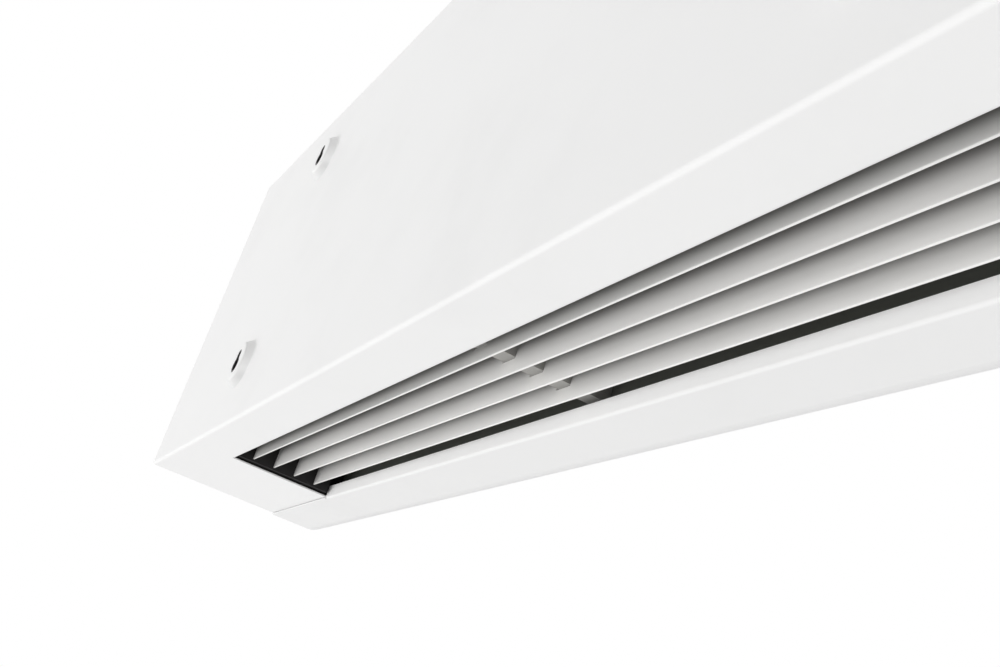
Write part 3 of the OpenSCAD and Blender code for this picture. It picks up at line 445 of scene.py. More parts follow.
@dataclass(frozen=True)
class CoverCoat(PowderCoat):
    """The cover's coat, with painted light that makes the lip whiter.

    The places are millimetres in the part's frame.
    """

    lip_start: float = -151.0
    lip_face: float = -149.0
    bend_low: float = -172.5
    bend_high: float = -169.5
    # The whiter tone that paints light onto the lip.
    lip_light_tone: Colour = (0.975, 0.974, 0.97)

    def dress(self, skin: Skin) -> None:
        """Adds the coat, then the painted light on the lip.

        Args:
            skin: The surface that is being built.
        """
        super().dress(skin)
        _, y, z = skin.place()
        # Painted light: the lip's face is mixed towards the whiter tone.
        lip = y.ramp(self.lip_start * MM, self.lip_face * MM)
        lip = lip * z.ramp(self.bend_low * MM, self.bend_high * MM)
        skin.paint(base_color=skin.mix(lip, skin.coat(), self.lip_light_tone))


@dataclass(frozen=True)
class SlatCoat(PowderCoat):
    """The slats' coat, with painted shade towards their inner edges and their ends.

    The places are millimetres in the part's frame.
    """

    # Painted shade: the colour darkens to the shade tone between the two heights, and partly
    # between the two lengths towards the ends.
    lit_height: float = -156.0
    shaded_height: float = -142.5
    lit_length: float = 330.0
    shaded_length: float = 470.0
    end_lit_share: float = 0.8
    dust_and_shade_tone: Colour = (0.19, 0.178, 0.174)

    def dress(self, skin: Skin) -> None:
        """Adds the coat, then the painted shade.

        Args:
            skin: The surface that is being built.
        """
        super().dress(skin)
        x, _, z = skin.place()
        # Painted shade, growing deeper up the slats and near their ends.
        lit = z.ramp(self.lit_height * MM, self.shaded_height * MM, 1.0, 0.0)
        lit = lit * abs(x).ramp(self.lit_length * MM, self.shaded_length * MM, 1.0,
                                    self.end_lit_share)
        skin.paint(base_color=skin.mix(lit, self.dust_and_shade_tone, skin.coat()))


@dataclass(frozen=True)
class CasingCoat(PowderCoat):
    """The casing's coat, with near black painted shade on the inner skin and round the keyholes,
    painted light on the bosses' slopes towards the middle and painted shade underneath them.

    The sizes are millimetres, and heights start from the keyhole's round hole.
    """

    # Painted shade: this near black goes on the keyholes, a ring round each as wide as the edge,
    # and the inner skin.
    shade_black: Colour = (0.035, 0.035, 0.035)
    column: float = 380.0
    row: float = 112.0
    hole_radius: float = 6.0
    slot_half: float = 3.0
    slot_rise: float = 10.0
    edge: float = 1.9
    boss_offset: float = 4.0
    boss_face: float = 18.0
    boss_foot: float = 23.5
    boss_slope: float = 1.273
    face_blend: float = 1.5
    foot_blend: float = 2.0
    inner_side: tuple[float, float] = (-12.0, -2.0)
    lower_side: tuple[float, float] = (-18.0, -8.0)
    # Painted light and painted shade on the bosses' slopes: the first tone is lighter, the second
    # darker.
    slope_light_tone: Colour = (0.985, 0.984, 0.98)
    slope_shade_tone: Colour = (0.72, 0.719, 0.716)
    half_sheet: float = 0.65
    inside: float = 168.0

    def dress(self, skin: Skin) -> None:
        """Adds the coat, then painted light and shade on slopes, keyholes and the inner skin.

        Args:
            skin: The surface that is being built.
        """
        super().dress(skin)
        x, y, z = skin.place()
        side = abs(x) - self.column * MM
        rise = z - skin.maths("SIGN", z) * (self.row * MM)
        height = rise - self.boss_offset * MM
        radius = skin.reach(side, height)
        face, foot = self.boss_face * MM, self.boss_foot * MM
        slope = radius.ramp(face, face + self.face_blend * MM)
        slope = slope * radius.ramp(foot, foot + self.foot_blend * MM, 1.0, 0.0)
        inward = side.ramp(*(edge * MM for edge in self.inner_side), 1.0, 0.0)
        under = height.ramp(*(edge * MM for edge in self.lower_side), 1.0, 0.0)
        # Painted light on the slopes towards the middle, painted shade on the slopes underneath.
        coat = skin.mix(slope * inward, skin.coat(), self.slope_light_tone)
        coat = skin.mix(slope * under, coat, self.slope_shade_tone)
        # Painted shade: the keyholes, a ring round them and the inner skin go near black.
        dark_shade = self.keyhole(skin, side, rise).at_least(self.inner_skin(radius, y, z))
        skin.paint(base_color=skin.mix(dark_shade, coat, self.shade_black))

    def keyhole(self, skin: Skin, side: Signal, rise: Signal) -> Signal:
        """Finds the keyholes' cut edges and a ring round them, for painted shade.

        Args:
            skin: The surface that is being built.
            side: Distance from the nearest round hole along X.
            rise: Distance from it along Z.

        Returns:
            The mask.
        """
        above = rise - rise.at_least(0.0).at_most(self.slot_rise * MM)
        hole = skin.reach(side, rise).below((self.hole_radius + self.edge) * MM)
        return hole.at_least(skin.reach(side, above).below((self.slot_half + self.edge) * MM))

    def inner_skin(self, radius: Signal, y: Signal, z: Signal) -> Signal:
        """Finds the inner skin of the back panel and its bosses, for painted shade.

        Args:
            radius: Distance from the nearest boss's axis.
            y: The Y coordinate.
            z: The Z coordinate.

        Returns:
            The mask.
        """
        drop = ((radius - self.boss_face * MM) * self.boss_slope).at_least(0.0)
        depth = y + drop.at_most(BOSS_HEIGHT * MM) + self.half_sheet * MM
        return depth.below(0.0) * abs(z).below(self.inside * MM)


@dataclass(frozen=True)
class ZincSheet(Finish):
    """Hot-dipped steel sheet with a faint spangle and dull rolling streaks."""

    def dress(self, skin: Skin) -> None:
        """Adds spangle and streaks.

        Args:
            skin: The surface that is being built.
        """
        height, fields = skin.effect(Effect.SPANGLE, self.scale)
        _, streaks = skin.effect(Effect.ROLLED)
        tone = skin.mix(fields, self.shade(0.82), self.shade(1.12))
        tone = skin.mix(streaks.ramp(0.3, 0.8, 0.0, 0.5), tone, self.shade(0.85))
        skin.paint(base_color=tone, roughness=self.gloss(fields, 0.0, 1.0, 0.08, 0.1),
                   normal=skin.bump(height, 0.00002, 0.3))


@dataclass(frozen=True)
class RolledMetal(Finish):
    """Plain or ground metal with fine streaks."""

    groove: float = 0.00001

    def dress(self, skin: Skin) -> None:
        """Adds streaks to tone, gloss and height.

        Args:
            skin: The surface that is being built.
        """
        fine, slow = skin.effect(Effect.ROLLED, self.scale)
        _, smudges = skin.effect(Effect.HANDLING, 4.0)
        tone = skin.mix(slow, self.shade(0.88), self.shade(1.06))
        tone = skin.mix(smudges, tone, self.shade(0.8))
        skin.paint(base_color=tone, roughness=self.gloss(fine, 0.3, 0.7, 0.05, 0.1),
                   normal=skin.bump(fine, self.groove, 0.5))


@dataclass(frozen=True)
class Moulded(Finish):
    """Moulded plastic or rubber with an etched grain and a little dust."""

    grain: float = 0.00004
    dust: float = 0.12

    def dress(self, skin: Skin) -> None:
        """Adds grain and dust.

        Args:
            skin: The surface that is being built.
        """
        grain = skin.noise(skin.coords, 1500.0 * self.scale, 3.0, 0.6)
        _, smudges = skin.effect(Effect.HANDLING, 3.0)
        dusty = tuple(channel + (0.5 - channel) * self.dust for channel in self.colour)
        skin.paint(base_color=skin.mix(smudges, self.colour, dusty),
                   roughness=self.gloss(smudges, 0.0, 1.0, 0.04, 0.08),
                   normal=skin.bump(grain, self.grain, 0.5))


@dataclass(frozen=True)
class CastMetal(Finish):
    """Lacquered casting with a sandy skin."""

    def dress(self, skin: Skin) -> None:
        """Adds the sandy skin and worn tone.

        Args:
            skin: The surface that is being built.
        """
        sand = skin.noise(skin.coords, 900.0, 4.0, 0.65)
        slow = skin.noise(skin.coords, 60.0, 3.0, 0.5)
        skin.paint(base_color=skin.mix(slow, self.shade(0.8), self.shade(1.15)),
                   roughness=self.gloss(sand, 0.3, 0.7, 0.06, 0.1),
                   normal=skin.bump(sand, 0.00012, 0.7))


@dataclass(frozen=True)
class KnittedMesh(Finish):
    """An open knitted air filter: a lattice of threads over dark openings."""

    pitch: float = 1.6
    dust_and_shade_tone: Colour = (0.28, 0.27, 0.25)

    def dress(self, skin: Skin) -> None:
        """Adds the lattice and the dust in it.

        Args:
            skin: The surface that is being built.
        """
        x, _, z = skin.place()
        turns = 2.0 * math.pi / (self.pitch * MM)
        across, along = (abs(skin.maths("SINE", way * turns)) for way in (x, z))
        mask = across.at_most(along).ramp(0.25, 0.75, 1.0, 0.0)
        loft = skin.noise(skin.coords, 25.0, 3.0).ramp(0.45, 0.8, 0.0, 0.5)
        tone = skin.mix(mask, self.shade(0.18), self.colour)
        skin.paint(base_color=skin.mix(loft, tone, self.dust_and_shade_tone),
                   normal=skin.bump(mask, 0.0004, 0.9))


@dataclass(frozen=True)
class BoardLaminate(Finish):
    """Glass laminate under a solder mask, with copper tracks showing through."""

    def dress(self, skin: Skin) -> None:
        """Adds the tracks.

        Args:
            skin: The surface that is being built.
        """
        tracks = skin.out("ShaderNodeTexVoronoi", "Distance", feature="F1", distance="CHEBYCHEV",
                          vector=skin.coords, scale=110.0).ramp(0.42, 0.46)
        skin.paint(base_color=skin.mix(tracks, self.colour, self.shade(1.9)),
                   normal=skin.bump(tracks, 0.00005, 0.6))


class Paint(Enum):
    """Every finish that the air curtain uses."""

    CASING = CasingCoat("casing_white", (0.862, 0.861, 0.858), 0.42)
    END_PANEL = PowderCoat("end_white", (0.862, 0.861, 0.858), 0.42)
    COVER = CoverCoat("cover_white", (0.83, 0.829, 0.826), 0.42)
    HINGE = PowderCoat("hinge_white", (0.825, 0.824, 0.82), 0.45)
    # The slat finishes paint shade into the outlet. The first slat's copy is lighter, and its
    # painted shade starts lower.
    SLAT = SlatCoat("slat_grey", (0.85, 0.844, 0.828), 0.4, ripple=0.00003)
    FIRST_SLAT = SlatCoat("first_slat_grey", (0.88, 0.873, 0.856), 0.4, ripple=0.00003,
                          lit_height=-161.5, shaded_height=-149.5)
    # Darker than the slats' grey, as painted shade for the bar's place deep between them.
    BAR = PowderCoat("bar_grey", (0.38, 0.373, 0.356), 0.45)
    DUCT_BLACK = PowderCoat("duct_black", (0.12, 0.123, 0.108), 0.6)
    ZINC = ZincSheet("zinc_sheet", (0.5, 0.51, 0.53), 0.42, 0.85)
    ROTOR = RolledMetal("rotor_aluminium", (0.6, 0.61, 0.62), 0.38, 0.9)
    STEEL = RolledMetal("ground_steel", (0.55, 0.56, 0.57), 0.25, 1.0)
    SCREW = RolledMetal("screw_zinc", (0.62, 0.63, 0.66), 0.3, 1.0, 2.0)
    BRASS = RolledMetal("brass", (0.72, 0.5, 0.2), 0.3, 1.0)
    COPPER = RolledMetal("copper_winding", (0.55, 0.22, 0.09), 0.35, 1.0, 3.0)
    MOTOR = CastMetal("motor_lacquer", (0.1, 0.105, 0.11), 0.5)
    LAMINATION = RolledMetal("lamination_steel", (0.2, 0.2, 0.21), 0.45, 0.8, 2.0)
    BLACK = Moulded("black_plastic", (0.018, 0.018, 0.018), 0.5)
    HOLDER = Moulded("holder_black", (0.006, 0.005, 0.005), 0.7, dust=0.01)
    RUBBER = Moulded("black_rubber", (0.022, 0.022, 0.023), 0.75)
    SLEEVE = Moulded("loom_sleeve", (0.02, 0.02, 0.022), 0.45, scale=0.5)
    NYLON = Moulded("white_nylon", (0.72, 0.71, 0.66), 0.4, dust=0.05)
    GRILLE = Moulded("grille_white", (0.82, 0.822, 0.828), 0.38, dust=0.03)
    BOARD = BoardLaminate("board_green", (0.012, 0.09, 0.035), 0.35)
    FILTER = KnittedMesh("filter_mesh", (0.09, 0.095, 0.1), 0.85)
    RELAY_BLUE = Moulded("relay_blue", (0.02, 0.06, 0.2), 0.4)
    CONNECTOR = Moulded("connector_green", (0.03, 0.2, 0.07), 0.45)
    RESISTOR = Moulded("resistor_tan", (0.5, 0.34, 0.18), 0.4)
    WIRE_BROWN = Moulded("wire_brown", (0.12, 0.045, 0.02), 0.4)
    WIRE_BLUE = Moulded("wire_blue", (0.02, 0.09, 0.35), 0.4)
    WIRE_GREEN = Moulded("wire_green", (0.05, 0.28, 0.04), 0.4)


CAD_FINISHES: dict[Paint, tuple[str, ...]] = {
    Paint.CASING: ("back_shell",),
    Paint.END_PANEL: ("end_panel_left", "end_panel_right"),
    Paint.COVER: ("front_cover",),
    Paint.HINGE: ("hinge_leaves_fixed", "hinge_leaves_moving"),
    Paint.FIRST_SLAT: ("slat_1",),
    Paint.SLAT: ("slat_2", "slat_3", "slat_4"),
    Paint.BAR: ("slat_support_bar",),
    Paint.DUCT_BLACK: ("duct_front_wall", "scroll_rear_wall"),
    Paint.ZINC: ("duct_end_plate_left", "duct_end_plate_right", "motor_bracket",
                 "bearing_housing", "control_tray", "capacitor_clamp", "filter_clips"),
    Paint.ROTOR: ("fan_rotor",),
    Paint.STEEL: ("stub_shaft_left", "stub_shaft_right", "motor_shaft", "hinge_pins",
                  "rotor_bearing", "slat_1_pins", "slat_2_pins", "slat_3_pins", "slat_4_pins"),
    Paint.SCREW: ("end_panel_screws", "cover_screws", "motor_screws", "bearing_screws",
                  "threaded_inserts"),
    Paint.BRASS: ("earth_stud",),
    Paint.MOTOR: ("motor_body",),
    Paint.BLACK: ("filter_frame", "cable_glands", "gland_locknuts"),
    Paint.HOLDER: ("slat_holder_left", "slat_holder_right"),
    Paint.RUBBER: ("motor_rubber_mounts", "bearing_rubber_ring", "loom_grommets", "shaft_coupling"),
    Paint.SLEEVE: ("wiring_loom",),
    Paint.NYLON: ("terminal_block", "run_capacitor"),
    Paint.GRILLE: ("intake_grille",),
    Paint.BOARD: ("circuit_board",),
    Paint.FILTER: ("filter_mesh",),
}


def dress_cad_nodes() -> None:
    """Gives every construction node its finish."""
    for paint, nodes in CAD_FINISHES.items():
        material = paint.value.build()
        for name in nodes:
            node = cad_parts[name]
            if not node.material_slots:
                node.data.materials.append(material)
            for slot in node.material_slots:
                slot.material = material
            LOG.info("node %s: %s", name, paint.value.name)


# ---------------------------------------------------------------- modelling tools

UP = Vector((0.0, 0.0, 1.0))
FORWARD = Vector((0.0, -1.0, 0.0))
ALONG = Vector((1.0, 0.0, 0.0))
SIGNS = (-1, 1)
# Faces count as level or upright by how far their normals point along Z, and as the highest or
# lowest ones within a distance in millimetres.
LEVEL, UPRIGHT, NEAR = 0.9, 0.1, 0.01
Spot = tuple[Vector, Vector]
Place = tuple[float, ...]
Step = Callable[[], object]


def alone(*things: bpy.types.Object) -> None:
    """Selects objects and makes the first one active.

    Args:
        things: The only objects that end up selected.
    """
    bpy.ops.object.select_all(action="DESELECT")
    for thing in things:
        thing.select_set(True)
    bpy.context.view_layer.objects.active = things[0]


def stand(name: str, data: bpy.types.ID) -> bpy.types.Object:
    """Puts an object with this data in the scene."""
    thing = bpy.data.objects.new(name, data)
    bpy.context.scene.collection.objects.link(thing)
    return thing


def inset(width: float, depth: float = 0.0, single: bool = False) -> Step:
    """Gives a step that insets the picked faces by a width, and moves them out by a depth."""
    return lambda: bpy.ops.mesh.inset(thickness=width * MM, depth=depth * MM, use_individual=single)


def extrude(z: float) -> Step:
    """Gives a step that pulls the picked faces along Z by millimetres."""
    return lambda: bpy.ops.mesh.extrude_region_move(
        TRANSFORM_OT_translate={"value": (0, 0, z * MM)})


def narrow(factor: float) -> Step:
    """Gives a step that scales the picked faces about the Z axis."""
    return lambda: bpy.ops.transform.resize(value=(factor, factor, 1.0), center_override=(0, 0, 0))


def push_out(distance: float) -> Step:
    """Gives a step that extrudes each picked face along its own normal by millimetres."""
    return lambda: bpy.ops.mesh.extrude_faces_move(
        TRANSFORM_OT_shrink_fatten={"value": distance * MM})


class Workpiece:
    """A mesh on the bench, shaped with Blender's own tools, in millimetres about the origin."""

    def __init__(self, thing: bpy.types.Object, name: str) -> None:
        """Takes a new object and puts its place in its mesh.

        Args:
            thing: The object.
            name: The piece's name.
        """
        thing.name = thing.data.name = name
        self.thing = thing
        alone(thing)
        bpy.ops.object.transform_apply(location=True, rotation=True, scale=True)

    @classmethod
    def rod(cls, name: str, low: float, high: float, radius: float, sides: int = 32,
            top: float | None = None) -> "Workpiece":
        """Starts from a rod that stands on Z.

        Args:
            name: The piece's name.
            low: Its lower end.
            high: Its upper end.
            radius: Its radius.
            sides: Its number of sides.
            top: Its radius at the upper end, if that differs.

        Returns:
            The piece.
        """
        bpy.ops.object.select_all(action="DESELECT")
        bpy.ops.mesh.primitive_cone_add(
            vertices=sides, radius1=radius * MM, radius2=(radius if top is None else top) * MM,
            depth=(high - low) * MM, location=(0, 0, (low + high) / 2 * MM))
        return cls(bpy.context.object, name)

    @classmethod
    def block(cls, name: str, low: Place, high: Place) -> "Workpiece":
        """Starts from a block between two corners.

        Args:
            name: The piece's name.
            low: Its low corner.
            high: Its high corner.

        Returns:
            The piece.
        """
        bpy.ops.object.select_all(action="DESELECT")
        middle = [(a + b) / 2 * MM for a, b in zip(low, high)]
        size = [(b - a) * MM for a, b in zip(low, high)]
        bpy.ops.mesh.primitive_cube_add(size=1.0, location=middle, scale=size)
        return cls(bpy.context.object, name)

    @classmethod
    def cable(cls, name: str, points: list[Vector], radius: float) -> "Workpiece":
        """Starts from a round wire along a smooth line.

        Args:
            name: The piece's name.
            points: Places in metres.
            radius: The wire's radius in millimetres.

        Returns:
            The piece, as a closed mesh.
        """
        line = bpy.data.curves.new(name, "CURVE")
        line.dimensions = "3D"
        line.bevel_depth = radius * MM
        line.bevel_resolution = 2
        line.resolution_u = 8
        line.use_fill_caps = True
        spline = line.splines.new("BEZIER")
        spline.bezier_points.add(len(points) - 1)
        for knot, place in zip(spline.bezier_points, points):
            knot.co = place
            knot.handle_left_type = knot.handle_right_type = "AUTO"
        alone(stand(name, line))
        bpy.ops.object.convert(target="MESH")
        return cls(bpy.context.object, name)

    def shape(self, test: Callable[[Vector, Vector], bool], *steps: Step) -> "Workpiece":
        """Picks faces by middle and normal, and runs editing steps on them.

        Args:
            test: Takes a face's middle in millimetres and its normal.
            steps: What is done to the picked faces, in order.

        Returns:
            This piece.
        """
        alone(self.thing)
        bpy.ops.object.mode_set(mode="EDIT")
        bpy.ops.mesh.select_mode(type="FACE")
        bpy.ops.mesh.select_all(action="DESELECT")
        bpy.ops.object.mode_set(mode="OBJECT")
        for face in self.thing.data.polygons:
            face.select = test(face.center / MM, face.normal)
        bpy.ops.object.mode_set(mode="EDIT")
        for step in steps:
            step()
        bpy.ops.object.mode_set(mode="OBJECT")
        return self

    def top(self, *steps: Step) -> "Workpiece":
        """Runs editing steps on the faces that look straight up."""
        high = max(vertex.co.z for vertex in self.thing.data.vertices) / MM
        return self.shape(lambda c, n: n.z > LEVEL and c.z > high - NEAR, *steps)

    def bottom(self, *steps: Step) -> "Workpiece":
        """Runs editing steps on the faces that look straight down."""
        low = min(vertex.co.z for vertex in self.thing.data.vertices) / MM
        return self.shape(lambda c, n: n.z < -LEVEL and c.z < low + NEAR, *steps)

    def girth(self, *steps: Step) -> "Workpiece":
        """Runs editing steps on the faces that stand upright."""
        return self.shape(lambda c, n: abs(n.z) < UPRIGHT, *steps)

    def soften(self, width: float, segments: int = 2) -> "Workpiece":
        """Rounds the sharp edges.

        Args:
            width: The rounding in millimetres.
            segments: How many faces it takes.

        Returns:
            This piece.
        """
        edge = self.thing.modifiers.new("soft_edges", "BEVEL")
        edge.width = width * MM
        edge.segments = segments
        edge.limit_method = "ANGLE"
        edge.angle_limit = BEVEL_ANGLE
        alone(self.thing)
        bpy.ops.object.modifier_apply(modifier=edge.name)
        return self

    def cut(self, *cutters: "Workpiece") -> "Workpiece":
        """Cuts other pieces out of this one.

        Args:
            cutters: The other pieces, which are dropped.

        Returns:
            This piece.
        """
        for cutter in cutters:
            saw = self.thing.modifiers.new("saw", "BOOLEAN")
            saw.operation = "DIFFERENCE"
            saw.solver = "EXACT"
            saw.object = cutter.thing
            alone(self.thing)
            bpy.ops.object.modifier_apply(modifier=saw.name)
            bpy.data.objects.remove(cutter.thing)
        return self

    def bore(self, radius: float, sides: int = 32) -> "Workpiece":
        """Drills right through along Z."""
        return self.cut(Workpiece.rod("drill", -500, 500, radius, sides))

    def join(self, *others: "Workpiece") -> "Workpiece":
        """Takes other pieces into this one."""
        alone(self.thing, *(other.thing for other in others))
        bpy.ops.object.join()
        return self

    def move(self, x: float, y: float, z: float) -> "Workpiece":
        """Shifts the mesh by millimetres."""
        self.thing.data.transform(Matrix.Translation(Vector((x, y, z)) * MM))
        return self

    def turn(self, degrees: float, axis: str = "Z") -> "Workpiece":
        """Turns the mesh about an axis."""
        self.thing.data.transform(Matrix.Rotation(math.radians(degrees), 4, axis))
        return self

    def scatter(self, spots: Iterable[Spot]) -> "Workpiece":
        """Puts a copy at each spot, all in one mesh, and drops the pattern.

        Args:
            spots: For each copy its place in metres and the way its Z axis points.

        Returns:
            The joined copies.
        """
        twins = []
        for place, axis in spots:
            twin = self.thing.copy()
            twin.data = self.thing.data.copy()
            bpy.context.scene.collection.objects.link(twin)
            turn = UP.rotation_difference(axis).to_matrix().to_4x4()
            twin.data.transform(Matrix.Translation(place) @ turn)
            twins.append(twin)
        name = self.thing.name
        bpy.data.objects.remove(self.thing)
        alone(*twins)
        if len(twins) > 1:
            bpy.ops.object.join()
        self.thing = twins[0]
        self.thing.name = self.thing.data.name = name
        return self

    def put(self, spots: Iterable[Spot], paint: Paint, slot: str, *stands_for: str,
            body: str = "casing") -> None:
        """Scatters the piece and finishes it."""
        self.scatter(spots).finish(paint, slot, *stands_for, body=body)

    def finish(self, paint: Paint, slot: str, *stands_for: str, body: str = "casing") -> None:
        """Gives the piece its finish and hangs it on its body.

        Args:
            paint: Its finish.
            slot: The record's material slot. It is not used.
            stands_for: Construction nodes that it stands for.
            body: The body it rides on.
        """
        self.thing.data.materials.clear()
        self.thing.data.materials.append(paint.value.build())
        alone(self.thing)
        bpy.ops.object.shade_smooth_by_angle(angle=SMOOTH_ANGLE)
        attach(self.thing, body)
        if stands_for:
            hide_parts(*stands_for)
        LOG.info("piece %s: %d faces", self.thing.name, len(self.thing.data.polygons))


# ---------------------------------------------------------------- screws and rivets


class Drive(Enum):
    """The recess or shape that a tool grips."""

    CROSS = "cross"
    SOCKET = "socket"
    HEXAGON = "hexagon"
    SLOT = "slot"
    NONE = "none"


@dataclass
class Fastener:
    """A screw or rivet: its head stands on the origin along Z, its shank runs down."""

    name: str
    head: float
    height: float
    shank: float
    length: float
    drive: Drive
    sides: int = 28

    def pattern(self) -> Workpiece:
        """Builds one fastener.

        Returns:
            The piece.
        """
        sides = 6 if self.drive is Drive.HEXAGON else self.sides
        made = Workpiece.rod(self.name, 0, self.height * 0.5, self.head / 2, sides)
        made.bottom(inset((self.head - self.shank) / 2), extrude(-self.length * 0.94),
                    extrude(-self.length * 0.06), narrow(0.75))
        dome = 0.95 if self.drive in (Drive.HEXAGON, Drive.SOCKET) else 0.86
        made.top(extrude(self.height * 0.3), narrow(dome), extrude(self.height * 0.2), narrow(0.84))
        depth, over = self.height * 0.45, self.height + 1
        if self.drive is Drive.CROSS:
            for turn in (0, 90):
                made.cut(self.blade(self.head * 0.29, self.head * 0.07, depth, over).turn(turn))
        elif self.drive is Drive.SLOT:
            made.cut(self.blade(self.head, self.head * 0.09, depth, over))
        elif self.drive is Drive.SOCKET:
            made.cut(Workpiece.rod("bit", depth, over, self.head * 0.27, 6))
        elif self.drive is Drive.HEXAGON:
            made.join(Workpiece.rod("washer", -0.01, self.height * 0.22, self.head * 0.56, 28))
        return made

    def put(self, spots: Iterable[Spot], *stands_for: str, body: str = "casing") -> None:
        """Puts zinc-coated screws of this kind at their spots."""
        self.pattern().put(spots, Paint.SCREW, "zinc_screws", *stands_for, body=body)

    def blade(self, long: float, thick: float, low: float, high: float) -> Workpiece:
        """Gives a flat bit by its half length, half thickness and two heights."""
        return Workpiece.block("bit", (-long, -thick, low), (long, thick, high))


@dataclass
class Fasteners:
    """All screws and rivets that show on the casing, the cover and the machinery."""

    height: float = 350.0
    depth: float = 205.0
    screw_x: float = 616.0
    casing_screws_v: Place = (30.0, 140.0)
    cover_screws_w: float = 40.0
    hinge_x: Place = (-450.0, 0.0, 450.0)
    hinge_v: float = 170.0
    rivet_x: float = 20.0
    rivet_v: float = 12.0
    leaf_tops: Place = (1.2, 3.2)
    motor_plate: float = -506.5
    motor_circle: float = 36.0
    bearing_plate: float = 476.5
    bearing_circle: float = 32.0

    def build(self) -> None:
        """Builds every kind in turn."""
        self.casing_screws()
        self.cover_screws()
        self.hinge_rivets()
        self.motor_screws()
        self.bearing_screws()

    def ring(self, x: float, radius: float, *angles: float) -> list[Spot]:
        """Gives spots at angles in degrees round the fan's axis, pointing along the casing."""
        turns = [math.radians(angle) for angle in angles]
        return [(at(x, AXIS[0] + radius * math.cos(turn), AXIS[1] + radius * math.sin(turn)),
                 ALONG) for turn in turns]

    def casing_screws(self) -> None:
        """Puts four cross-headed screws through the top plate into the end panels."""
        spots = [(at(s * self.screw_x, v, self.height), UP)
                 for s in SIGNS for v in self.casing_screws_v]
        made = Fastener("casing_cross_screws", 8.0, 2.2, 4.0, 9.0, Drive.CROSS)
        made.put(spots, "end_panel_screws")

    def cover_screws(self) -> None:
        """Puts the two captive socket screws through the cover's face."""
        spots = [(at(s * self.screw_x, self.depth, self.cover_screws_w), FORWARD) for s in SIGNS]
        made = Fastener("cover_captive_screws", 9.0, 2.4, 4.0, 7.0, Drive.SOCKET)
        made.put(spots, "cover_screws", body="cover")

    def hinge_rivets(self) -> None:
        """Closes the leaf holes of the three hinges with rivets."""
        for body, side, top in zip(("casing", "cover"), SIGNS, self.leaf_tops):
            v, w = self.hinge_v + side * self.rivet_v, self.height + top
            spots = [(at(x + s * self.rivet_x, v, w), UP) for x in self.hinge_x for s in SIGNS]
            made = Fastener("hinge_rivets_" + body, 5.6, 1.3, 3.0, 2.6, Drive.NONE, 20)
            made.pattern().put(spots, Paint.STEEL, "bright_steel", body=body)

    def motor_screws(self) -> None:
        """Puts four socket screws through the bracket into the motor."""
        spots = self.ring(self.motor_plate, self.motor_circle, 225, 135, 315, 45)
        made = Fastener("motor_socket_screws", 7.5, 3.0, 4.0, 11.0, Drive.SOCKET)
        made.put(spots, "motor_screws")

    def bearing_screws(self) -> None:
        """Puts three hexagon screws with washers through the bearing's flange."""
        spots = self.ring(self.bearing_plate, self.bearing_circle, 90, 210, 330)
        made = Fastener("bearing_hexagon_screws", 7.7, 3.2, 4.0, 3.4, Drive.HEXAGON)
        made.put(spots, "bearing_screws")


# ---------------------------------------------------------------- cable entries and loom


@dataclass
class CableEntries:
    """Two cable glands on the top plate and the clips that hold the loom."""

    x: float = 544.75
    places_v: Place = (47.0, 89.0)
    top: float = 350.0
    bore_radius: float = 5.55
    loom_v: float = 13.2
    loom_w: float = 310.0
    clips_x: Place = (-425.0, -255.0, -85.0, 85.0, 255.0, 425.0)

    def build(self) -> None:
        """Builds glands, seals and clips."""
        spots = [(at(self.x, v, self.top), UP) for v in self.places_v]
        self.gland().put(spots, Paint.BLACK, "black_plastic", "cable_glands")
        seal = Workpiece.rod("gland_seals", 14.5, 19.6, 7.6).soften(0.6).bore(self.bore_radius)
        seal.put(spots, Paint.RUBBER, "black_rubber")
        self.clip().put([(at(x, 0.0, self.loom_w), UP) for x in self.clips_x],
                        Paint.BLACK, "black_plastic")

    def gland(self) -> Workpiece:
        """Builds one gland: stem, hexagon, collar, ribbed nut and crown.

        Returns:
            The piece.
        """
        stem = Workpiece.rod("cable_gland_bodies", -12, 0.02, 10).bore(self.bore_radius)
        hexagon = Workpiece.rod("hexagon", 0, 5, 13.5, 6).soften(0.7).bore(self.bore_radius)
        collar = Workpiece.rod("collar", 4.99, 8.01, 10).bore(self.bore_radius)
        nut = Workpiece.rod("nut", 8, 16, 12.2, 48)

        def third(c: Vector, n: Vector) -> bool:
            """Tells whether a face is one of every third round the nut."""
            return abs(n.z) < UPRIGHT and int(math.atan2(c.y, c.x) * 24 / math.pi + 96) % 3 == 0

        nut.shape(third, inset(0.12, 0.0, True), push_out(0.7))
        nut.top(inset(0.6), extrude(0.4), narrow(0.96)).bore(7.7)
        crown = Workpiece.rod("crown", 16.3, 20, 10.4, 48, 8.2).bore(7.7)
        return stem.join(hexagon, collar, nut, crown)

    def clip(self) -> Workpiece:
        """Builds one clip: a stuck-on base with a strap round the loom.

        Returns:
            The piece.
        """
        back = -1.2
        base = Workpiece.block("loom_clips", (-9, back - 2.2, -7), (9, back, 7)).soften(0.8)
        saddle = Workpiece.block("saddle", (-4, -9.4, -4), (4, back - 2.1, 4)).soften(0.5)
        strap = Workpiece.rod("strap", -3, 3, 5.1, 36).bore(4.05)
        strap.girth(inset(0.9, -0.25))
        strap.turn(90, "Y").move(0, -self.loom_v, 0)
        catch = Workpiece.block("catch", (-3.4, -self.loom_v - 2.2, 4.4),
                                (3.4, -self.loom_v + 2.2, 8.2)).soften(0.5)
        return base.join(saddle, strap, catch)


# ---------------------------------------------------------------- motor and bearing


